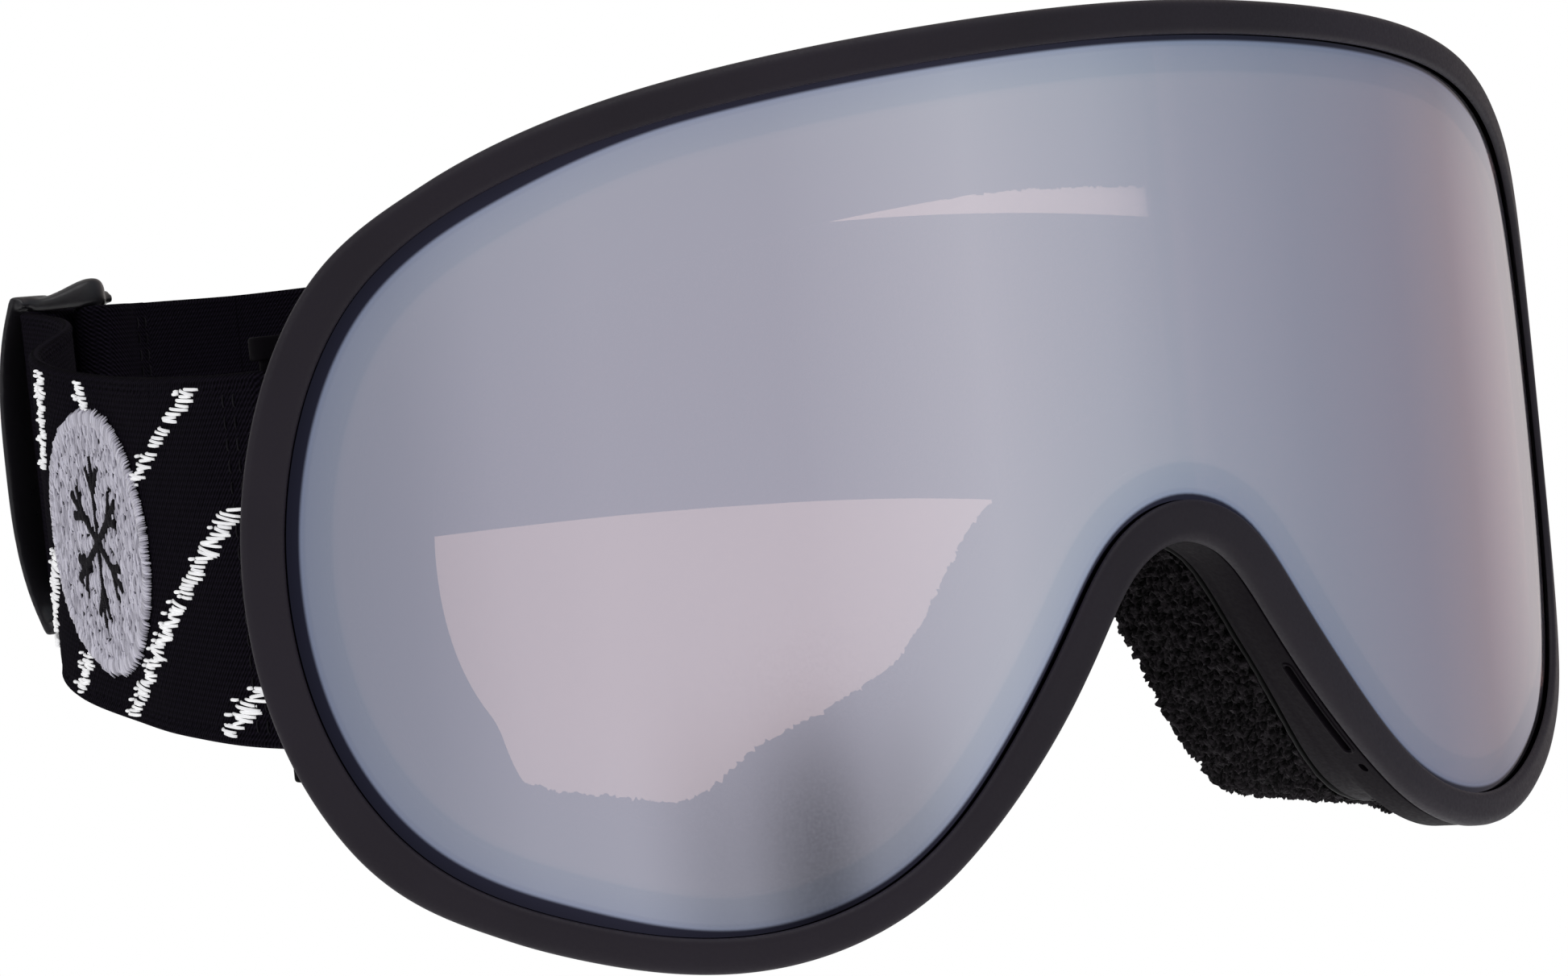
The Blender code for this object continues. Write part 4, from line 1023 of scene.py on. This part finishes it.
def stitches(name, A, B, r, lift, bow, route, base, side_sign=1.0, mats=None, tone=None, sides=6, rings=6, tip=0.45):
    """Threads lying on the webbing from A to B, (k,2) of length and height."""
    A, B = np.asarray(A, float), np.asarray(B, float)
    k = len(A)
    t = np.linspace(0, 1, rings)
    S = A[:, :1] + (B - A)[:, :1] * t
    Z = A[:, 1:] + (B - A)[:, 1:] * t
    p, nrm = surface_frame(route, S.ravel(), side_sign)
    p, nrm = p.reshape(k, rings, 3), nrm.reshape(k, rings, 3)
    lift = np.broadcast_to(np.asarray(lift, float).reshape(-1, 1), (k, 1))
    rise = base + lift + bow * np.sin(math.pi * t)[None, :] - 0.55 * (np.abs(2 * t - 1) ** 6)[None, :] * (lift + 0.25)
    p = p + nrm * rise[..., None]
    p[..., 2] += Z
    d = np.gradient(p, axis=1)
    d /= np.maximum(np.linalg.norm(d, axis=-1, keepdims=True), 1e-9)
    sd = np.cross(d, nrm)
    sd /= np.maximum(np.linalg.norm(sd, axis=-1, keepdims=True), 1e-9)
    up = np.cross(sd, d)
    prof = np.interp(t, [0, 0.12, 0.88, 1], [tip, 1, 1, tip])
    rr = np.broadcast_to(np.asarray(r, float).reshape(-1, 1), (k, 1)) * prof
    ang = np.linspace(0, 2 * math.pi, sides, endpoint=False)
    v = p[:, :, None] + rr[..., None, None] * (np.cos(ang)[:, None] * sd[:, :, None] + np.sin(ang)[:, None] * up[:, :, None])
    one_f = grid_faces(rings, sides, False, True)
    per = rings * sides
    fq = (one_f[None] + (np.arange(k) * per)[:, None, None]).reshape(-1, 4)
    c0 = np.arange(sides)
    caps = np.vstack([c0[None], (c0 + (rings - 1) * sides)[None, ::-1]])
    fc = (caps[None] + (np.arange(k) * per)[:, None, None]).reshape(-1, sides)
    if tone is None:
        tone = hashed(np.stack([np.arange(k), np.arange(k) * 7, np.full(k, 3)], 1), 21)[:, 0]
    return v.reshape(-1, 3), [fq, fc], np.repeat(tone, per)


def thread_object(name, parts, mats, index):
    verts, faces, tone, mat = [], [], [], []
    base = 0
    for (v, fs, tn), mi in zip(parts, index):
        verts.append(v)
        tone.append(tn)
        for f in fs:
            faces.append(f + base)
            mat.append(np.full(len(f), mi))
        base += len(v)
    ob = build(name, np.vstack(verts), faces, mats, mat, None, {"tone": np.concatenate(tone)})
    bm = bmesh.new()
    bm.from_mesh(ob.data)
    bmesh.ops.recalc_face_normals(bm, faces=bm.faces[:])
    bm.to_mesh(ob.data)
    bm.free()
    return ob


rng = np.random.default_rng(7)
FACE = STRAP_T / 2 + 0.02


def stroke(p0, p1, wide, pitch):
    """A jagged satin-stitch line: level stitches stacked along a diagonal."""
    p0, p1 = np.array(p0, float), np.array(p1, float)
    k = max(4, int(abs(p1[1] - p0[1]) / pitch))
    t = (np.arange(k) + 0.5) / k
    c = p0 + (p1 - p0) * t[:, None]
    c[:, 0] += rng.normal(0, 0.42, k) + 0.45 * np.sin(np.arange(k) * 1.1 + p0[0])
    c[:, 1] += rng.normal(0, 0.05, k)
    ln = wide * (0.50 + 0.55 * rng.random(k))
    d = np.stack([ln / 2, ln / 2 * rng.normal(0.045, 0.065, k)], 1)
    ok = rng.random(k) > 0.03
    a, b = (c - d)[ok], (c + d)[ok]
    # a short loose stitch beside some of them
    sel = rng.random(len(a)) < 0.38
    e = b[sel] + np.stack([0.35 + 0.5 * rng.random(sel.sum()), 0.16 * rng.normal(0, 1, sel.sum())], 1)
    g = e + np.stack([0.5 + 1.3 * rng.random(sel.sum()), 0.05 * rng.normal(0, 1, sel.sum())], 1)
    a, b = np.vstack([a, e]), np.vstack([b, g])
    lim = 18.35
    a[:, 1], b[:, 1] = np.clip(a[:, 1], -lim, lim), np.clip(b[:, 1], -lim, lim)
    return a, b


#STROKES
STROKES = [((13.0, 18.0), (39.8, 7.0)), ((5.6, 5.5), (49.6, -18.2)), ((3.0, -12.6), (13.5, -18.0)),
           ((58.0, 18.2), (54.0, 13.2)), ((64.0, -12.6), (71.0, -18.0)), ((74.5, 18.2), (79.5, 6.5)), ((76.5, -3.0), (91.0, -15.5))]
A, B = [], []
for p0, p1 in STROKES:
    a, b = stroke(p0, p1, 3.4 if 50.0 < p0[0] < 76.0 else 5.5, 0.41)
    A.append(a); B.append(b)
A, B = np.vstack(A), np.vstack(B)
lines = thread_object("embroidered_lines", [stitches("l", A, B, 0.165 + 0.035 * rng.random(len(A)), 0.05 + 0.20 * rng.random(len(A)), 0.10, ROUTE, FACE, tip=0.8)], [M_WHITE], [0])
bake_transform(lines)

# ---- oval badge: pad, dense fill, satin border, and a plain snow crystal
BADGE_S, BADGE_A, BADGE_B = 54.5, 20.5, 14.5
th = np.linspace(0, 2 * math.pi, 96, endpoint=False)
rings = []
for rad, lift in ((1.0, 0.02), (0.985, 0.30), (0.6, 0.36), (0.25, 0.38)):
    ds, dz = (BADGE_A - 0.6) * rad * np.cos(th), (BADGE_B - 0.6) * rad * np.sin(th)
    p, nr = surface_frame(ROUTE, BADGE_S + ds, 1.0)
    q = p + nr * (FACE + lift)
    q[:, 2] += dz
    rings.append(q)
pad_v = np.array(rings)
pad_f = [grid_faces(4, 96, False, True), np.arange(96)[None, :], (np.arange(96) + 3 * 96)[None, ::-1]]
parts = [(pad_v.reshape(-1, 3), pad_f, np.zeros(4 * 96))]
idx = [1]

# fill: columns of near-upright stitches, offset like brickwork
A, B = [], []
x = -BADGE_A + 0.8
col = 0
while x < BADGE_A - 0.8:
    zmax = BADGE_B * math.sqrt(max(0.0, 1 - (x / BADGE_A) ** 2)) - 0.7
    z = -zmax - (col * 1.37) % 2.6
    while z < zmax:
        ln = 1.5 + 0.9 * rng.random()
        z0, z1 = max(z, -zmax), min(z + ln, zmax)
        if z1 - z0 > 0.5:
            j = rng.normal(0, 0.10, 2)
            A.append((BADGE_S + x + j[0], z0)); B.append((BADGE_S + x + j[1] + 0.12, z1))
        z += ln * 1.09
    x += 0.275
    col += 1
A, B = np.array(A), np.array(B)
# motif: a plain six-armed snow crystal
MOTIF = []
for k in range(6):
    ca, sa = math.cos(math.radians(60 * k + 30)), math.sin(math.radians(60 * k + 30))
    MOTIF.append(((0.0, 0.0), (10.2 * ca, 9.6 * sa)))
    for sg in (-34, 34):
        cb, sb = math.cos(math.radians(60 * k + 30 + sg)), math.sin(math.radians(60 * k + 30 + sg))
        MOTIF.append(((5.6 * ca, 5.3 * sa), (5.6 * ca + 3.6 * cb, 5.3 * sa + 3.4 * sb)))


def near_motif(p, gap):
    near = np.zeros(len(p), bool)
    for (ax, ay), (cx, cy) in MOTIF:
        a0, d0_ = np.array([ax, ay]), np.array([cx - ax, cy - ay])
        t = np.clip(((p - a0) @ d0_) / (d0_ @ d0_), 0, 1)
        near |= np.linalg.norm(p - (a0 + t[:, None] * d0_), axis=1) < gap
    return near


local = (A + B) / 2 - np.array([BADGE_S, 0])
drop = near_motif(local, 0.5)
A, B = A[~drop], B[~drop]
parts.append(stitches("f", A, B, 0.145, 0.36 + 0.10 * rng.random(len(A)), 0.10, ROUTE, FACE))
idx.append(0)
# border: short satin stitches pointing outwards
k = 420
th = np.linspace(0, 2 * math.pi, k, endpoint=False) + rng.normal(0, 0.003, k)
out_r = 1.0 + rng.normal(0, 0.012, k)
a = np.stack([BADGE_S + (BADGE_A - 1.9) * np.cos(th), (BADGE_B - 1.9) * np.sin(th)], 1)
b = np.stack([BADGE_S + (BADGE_A + 0.1) * out_r * np.cos(th), (BADGE_B + 0.1) * out_r * np.sin(th)], 1)
parts.append(stitches("b", a, b, 0.15, 0.42 + 0.08 * rng.random(k), 0.12, ROUTE, FACE))
idx.append(0)
# motif: black satin line over the fill
A, B = [], []
for (ax, ay), (cx, cy) in MOTIF:
    L = math.hypot(cx - ax, cy - ay)
    for t in np.arange(0, L, 0.26) / L:
        c = np.array([ax + (cx - ax) * t, ay + (cy - ay) * t])
        nn = np.array([-(cy - ay), cx - ax]) / L
        h = 0.62 + 0.12 * rng.random()
        A.append((BADGE_S + c[0] - nn[0] * h, c[1] - nn[1] * h)); B.append((BADGE_S + c[0] + nn[0] * h, c[1] + nn[1] * h))
parts.append(stitches("m", np.array(A), np.array(B), 0.15, 0.50 + 0.05 * rng.random(len(A)), 0.12, ROUTE, FACE))
idx.append(1)
parts = [(v + np.array([0.0, 0.0, 0.5]), f, tn) for v, f, tn in parts]      # sits a little above the middle
badge = thread_object("badge_embroidery", parts, [M_GREY, M_BLACK], idx)
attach(badge, "strap"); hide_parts("strap_badge")

# ---- seams: rows of sewing thread where the webbing is doubled and sewn
INNER_FACE = offset_route(ROUTE, 2 * 0.0)


def seam_rows(route, s_list, z0, z1, base, side_sign, pitch=2.2, r=0.11):
    A, B = [], []
    for s in s_list:
        z = z0
        while z < z1 - 1.0:
            A.append((s, z)); B.append((s, min(z + pitch * 0.70, z1)))
            z += pitch
    return stitches("s", np.array(A), np.array(B), r, 0.0, 0.05, route, base, side_sign)


right_seam = thread_object("seam_right", [seam_rows(ROUTE, (3.6, 5.8), -17.5, 17.5, FACE - 0.03, 1.0)], [M_BLACK], [0])
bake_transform(right_seam)
sewn_straight = np.array([(*along(u, -LAYER - STRAP_T - 0.45), STRAP_Z_BACK) for u in np.linspace(5, 14, 40)])
end_seam = thread_object("seam_sewn_end", [seam_rows(sewn_straight, (4.6, 6.4), -17.5, 17.5, STRAP_T / 2 + 0.10, -1.0)], [M_BLACK], [0])
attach(end_seam, "adjuster")


# ============================================================ adjuster
def rod(points, radii, sides=28):
    ang = np.linspace(0, 2 * math.pi, sides, endpoint=False)
    v = []
    for (u, v0, z), (ru, rv) in zip(points, radii):
        xy = np.array([along(u + ru * math.cos(a), v0 + rv * math.sin(a)) for a in ang])
        v.append(np.column_stack([xy, np.full(sides, z)]))
    return np.array(v)


def rail(z0, z1):
    v = []
    for k in range(65):
        t = -1 + 2 * k / 64
        u = (PITCH + 3.6) * t
        vv = V_IN + (V_OUT - V_IN) * (0.5 - 0.5 * math.cos(math.pi * min(1.0, abs(t) * 1.1)))
        h = HUMP * (0.5 + 0.5 * math.cos(math.pi * min(1.0, abs(t) / 0.66)))
        lo, hi = (z0 - 0.46 * (abs(t) < 0.8), z1 + h) if z0 > SLIDER_Z else (z0 - h, z1)
        prof = []
        for a in np.linspace(0, 2 * math.pi, 28, endpoint=False):
            ca, sa = math.cos(a), math.sin(a)
            prof.append((math.copysign(abs(ca) ** 0.55, ca) * 1.25, math.copysign(abs(sa) ** 0.55, sa) * (hi - lo) / 2 + (lo + hi) / 2))
        v.append([(*along(u, vv + a), z) for a, z in prof])
    return np.array(v)


ts = np.linspace(-1, 1, 61)
zs = [SLIDER_Z + t * (SLOT_HALF + 1.75) for t in ts]
pieces = [rod([(sg * (PITCH + 0.5 * (1 - t * t)), V_OUT + BOW * (1 - abs(t) ** 3), z) for t, z in zip(ts, zs)], [(BLADE, 1.1)] * 61) for sg in (-1, 1)]
pieces.append(rod([(0, V_IN, z) for z in zs], [(1.1, 1.1)] * 61))
pieces += [rail(SLIDER_Z + SLOT_HALF, SLIDER_Z + SLOT_HALF + RAIL), rail(SLIDER_Z - SLOT_HALF - RAIL, SLIDER_Z - SLOT_HALF)]
parts = [solid_rings("slider_part", v) for v in pieces]
verts, faces, base = [], [], 0
for ob in parts:
    me = ob.data
    co = np.empty(len(me.vertices) * 3)
    me.vertices.foreach_get("co", co)
    verts.append(co.reshape(-1, 3))
    faces += [[i + base for i in p.vertices] for p in me.polygons]
    base += len(me.vertices)
    bpy.data.objects.remove(ob, do_unlink=True)
me = bpy.data.meshes.new("slider_smooth")
me.from_pydata(np.vstack(verts).tolist(), [], faces)
slider = bpy.data.objects.new("slider_moulded", me)
bpy.context.scene.collection.objects.link(slider)
rm = slider.modifiers.new("remesh", 'REMESH')
rm.mode = 'VOXEL'
rm.voxel_size = 0.00024
sm = slider.modifiers.new("smooth", 'SMOOTH')
sm.factor, sm.iterations = 0.6, 10
apply_all(slider)
slider.data.materials.clear()
slider.data.materials.append(M_SLIDER)
slider.data.shade_smooth()
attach(slider, "adjuster"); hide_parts("strap_slider")

# ============================================================ stage
scene = bpy.context.scene
scene.view_settings.view_transform = 'Standard'
world = bpy.data.worlds.new("studio")
scene.world = world
world.use_nodes = True
wt = world.node_tree
bg = wt.nodes["Background"]
tc = wt.nodes.new("ShaderNodeTexCoord")
sep = wt.nodes.new("ShaderNodeSeparateXYZ")
link(wt, tc.outputs["Generated"], sep.inputs[0])
az = mathn(wt, 'ARCTAN2', sep.outputs[1], sep.outputs[0])
az = mathn(wt, 'ADD', mathn(wt, 'MULTIPLY', az, 1 / (2 * math.pi)), 0.5)
#ENV
band = ramp(wt, az, [(0.0, (0.40, 0.40, 0.42)), (0.10, (0.33, 0.34, 0.37)), (0.136, (0.40, 0.405, 0.43)), (0.162, (0.50, 0.498, 0.517)),
                     (0.19, (0.542, 0.536, 0.551)), (0.245, (0.540, 0.533, 0.548)), (0.305, (0.665, 0.665, 0.66)), (0.348, (0.56, 0.58, 0.59)),
                     (0.383, (0.415, 0.450, 0.480)), (0.424, (0.345, 0.375, 0.410)), (0.475, (0.325, 0.328, 0.360)), (0.515, (0.385, 0.345, 0.350)),
                     (0.568, (0.637, 0.575, 0.55)), (0.65, (0.56, 0.55, 0.54)), (0.85, (0.46, 0.46, 0.47)), (1.0, (0.40, 0.40, 0.42))])
dip_a = ramp(wt, az, [(0.185, (0, 0, 0)), (0.215, (0.45,) * 3), (0.241, (1, 1, 1)), (0.262, (0.5,) * 3), (0.295, (0, 0, 0))], 'EASE')
dip_z = ramp(wt, mathn(wt, 'ADD', mathn(wt, 'MULTIPLY', sep.outputs[2], 0.5), 0.5), [(0.440, (1, 1, 1)), (0.447, (0.97,) * 3), (0.466, (0, 0, 0))], 'EASE')
dark = mathn(wt, 'SUBTRACT', 1.0, mathn(wt, 'MULTIPLY', mathn(wt, 'MULTIPLY', dip_a, dip_z), 0.68))
shade = wt.nodes.new("ShaderNodeMix")
shade.data_type, shade.blend_type = 'RGBA', 'MULTIPLY'
shade.inputs["Factor"].default_value = 1.0
link(wt, band, shade.inputs["A"])
link(wt, dark, shade.inputs["B"])
band = shade.outputs["Result"]
link(wt, band, bg.inputs["Color"])
white = wt.nodes.new("ShaderNodeBackground")
white.inputs["Color"].default_value = (1, 1, 1, 1)
lpn = wt.nodes.new("ShaderNodeLightPath")
mx = wt.nodes.new("ShaderNodeMixShader")
link(wt, lpn.outputs["Is Camera Ray"], mx.inputs[0])
link(wt, bg.outputs[0], mx.inputs[1])
link(wt, white.outputs[0], mx.inputs[2])
link(wt, mx.outputs[0], wt.nodes["World Output"].inputs["Surface"])

bm = bmesh.new()
bmesh.ops.create_circle(bm, cap_ends=True, segments=96, radius=0.92)
fl = bpy.data.meshes.new("floor")
bm.to_mesh(fl)
bm.free()
floor = bpy.data.objects.new("floor", fl)
floor.location = (0, 0.07, -0.22)
scene.collection.objects.link(floor)
fm, ft, fb = material("floor_white")
em = ft.nodes.new("ShaderNodeEmission")
em.inputs["Color"].default_value = (1, 1, 1, 1)
em.inputs["Strength"].default_value = 0.30
fb.inputs["Base Color"].default_value = (0.86, 0.86, 0.86, 1)
fb.inputs["Roughness"].default_value = 1.0
ad = ft.nodes.new("ShaderNodeAddShader")
link(ft, em.outputs[0], ad.inputs[0])
link(ft, fb.outputs[0], ad.inputs[1])
link(ft, ad.outputs[0], ft.nodes["Material Output"].inputs["Surface"])
fl.materials.append(fm)


def area(name, loc, aim, size, power, colour=(1, 1, 1)):
    li = bpy.data.lights.new(name, 'AREA')
    li.shape = 'RECTANGLE'
    li.size, li.size_y = size
    li.energy = power
    li.color = colour
    o = bpy.data.objects.new(name, li)
    o.location = loc
    o.rotation_euler = (Vector(aim) - Vector(loc)).to_track_quat('-Z', 'Y').to_euler()
    scene.collection.objects.link(o)


area("softbox_top", (-0.15, -0.25, 0.95), (0, 0.05, 0), (1.0, 0.8), 3.0)
area("softbox_left", (-1.0, 0.1, 0.55), (-0.05, 0.06, 0), (0.5, 0.8), 1.5)

# ============================================================ camera
C = Vector((-0.3391, -0.4213, 0.01756))
yaw, pitch, roll = (math.radians(a) for a in (37.11, -1.95, -5.91))
fwd = Vector((math.sin(yaw) * math.cos(pitch), math.cos(yaw) * math.cos(pitch), math.sin(pitch)))
right = Vector((math.cos(yaw), -math.sin(yaw), 0))
up = right.cross(fwd)
r = math.cos(roll) * right + math.sin(roll) * up
u = -math.sin(roll) * right + math.cos(roll) * up
cd = bpy.data.cameras.new("camera")
cd.sensor_width = 36.0
cd.lens = 6121.0 * 36.0 / 1946.0
cd.clip_start, cd.clip_end = 0.01, 50.0
cam = bpy.data.objects.new("camera", cd)
m4 = Matrix.Identity(4)
for row in range(3):
    m4[row][0], m4[row][1], m4[row][2], m4[row][3] = r[row], u[row], -fwd[row], C[row]
cam.matrix_world = m4
scene.collection.objects.link(cam)
scene.camera = cam
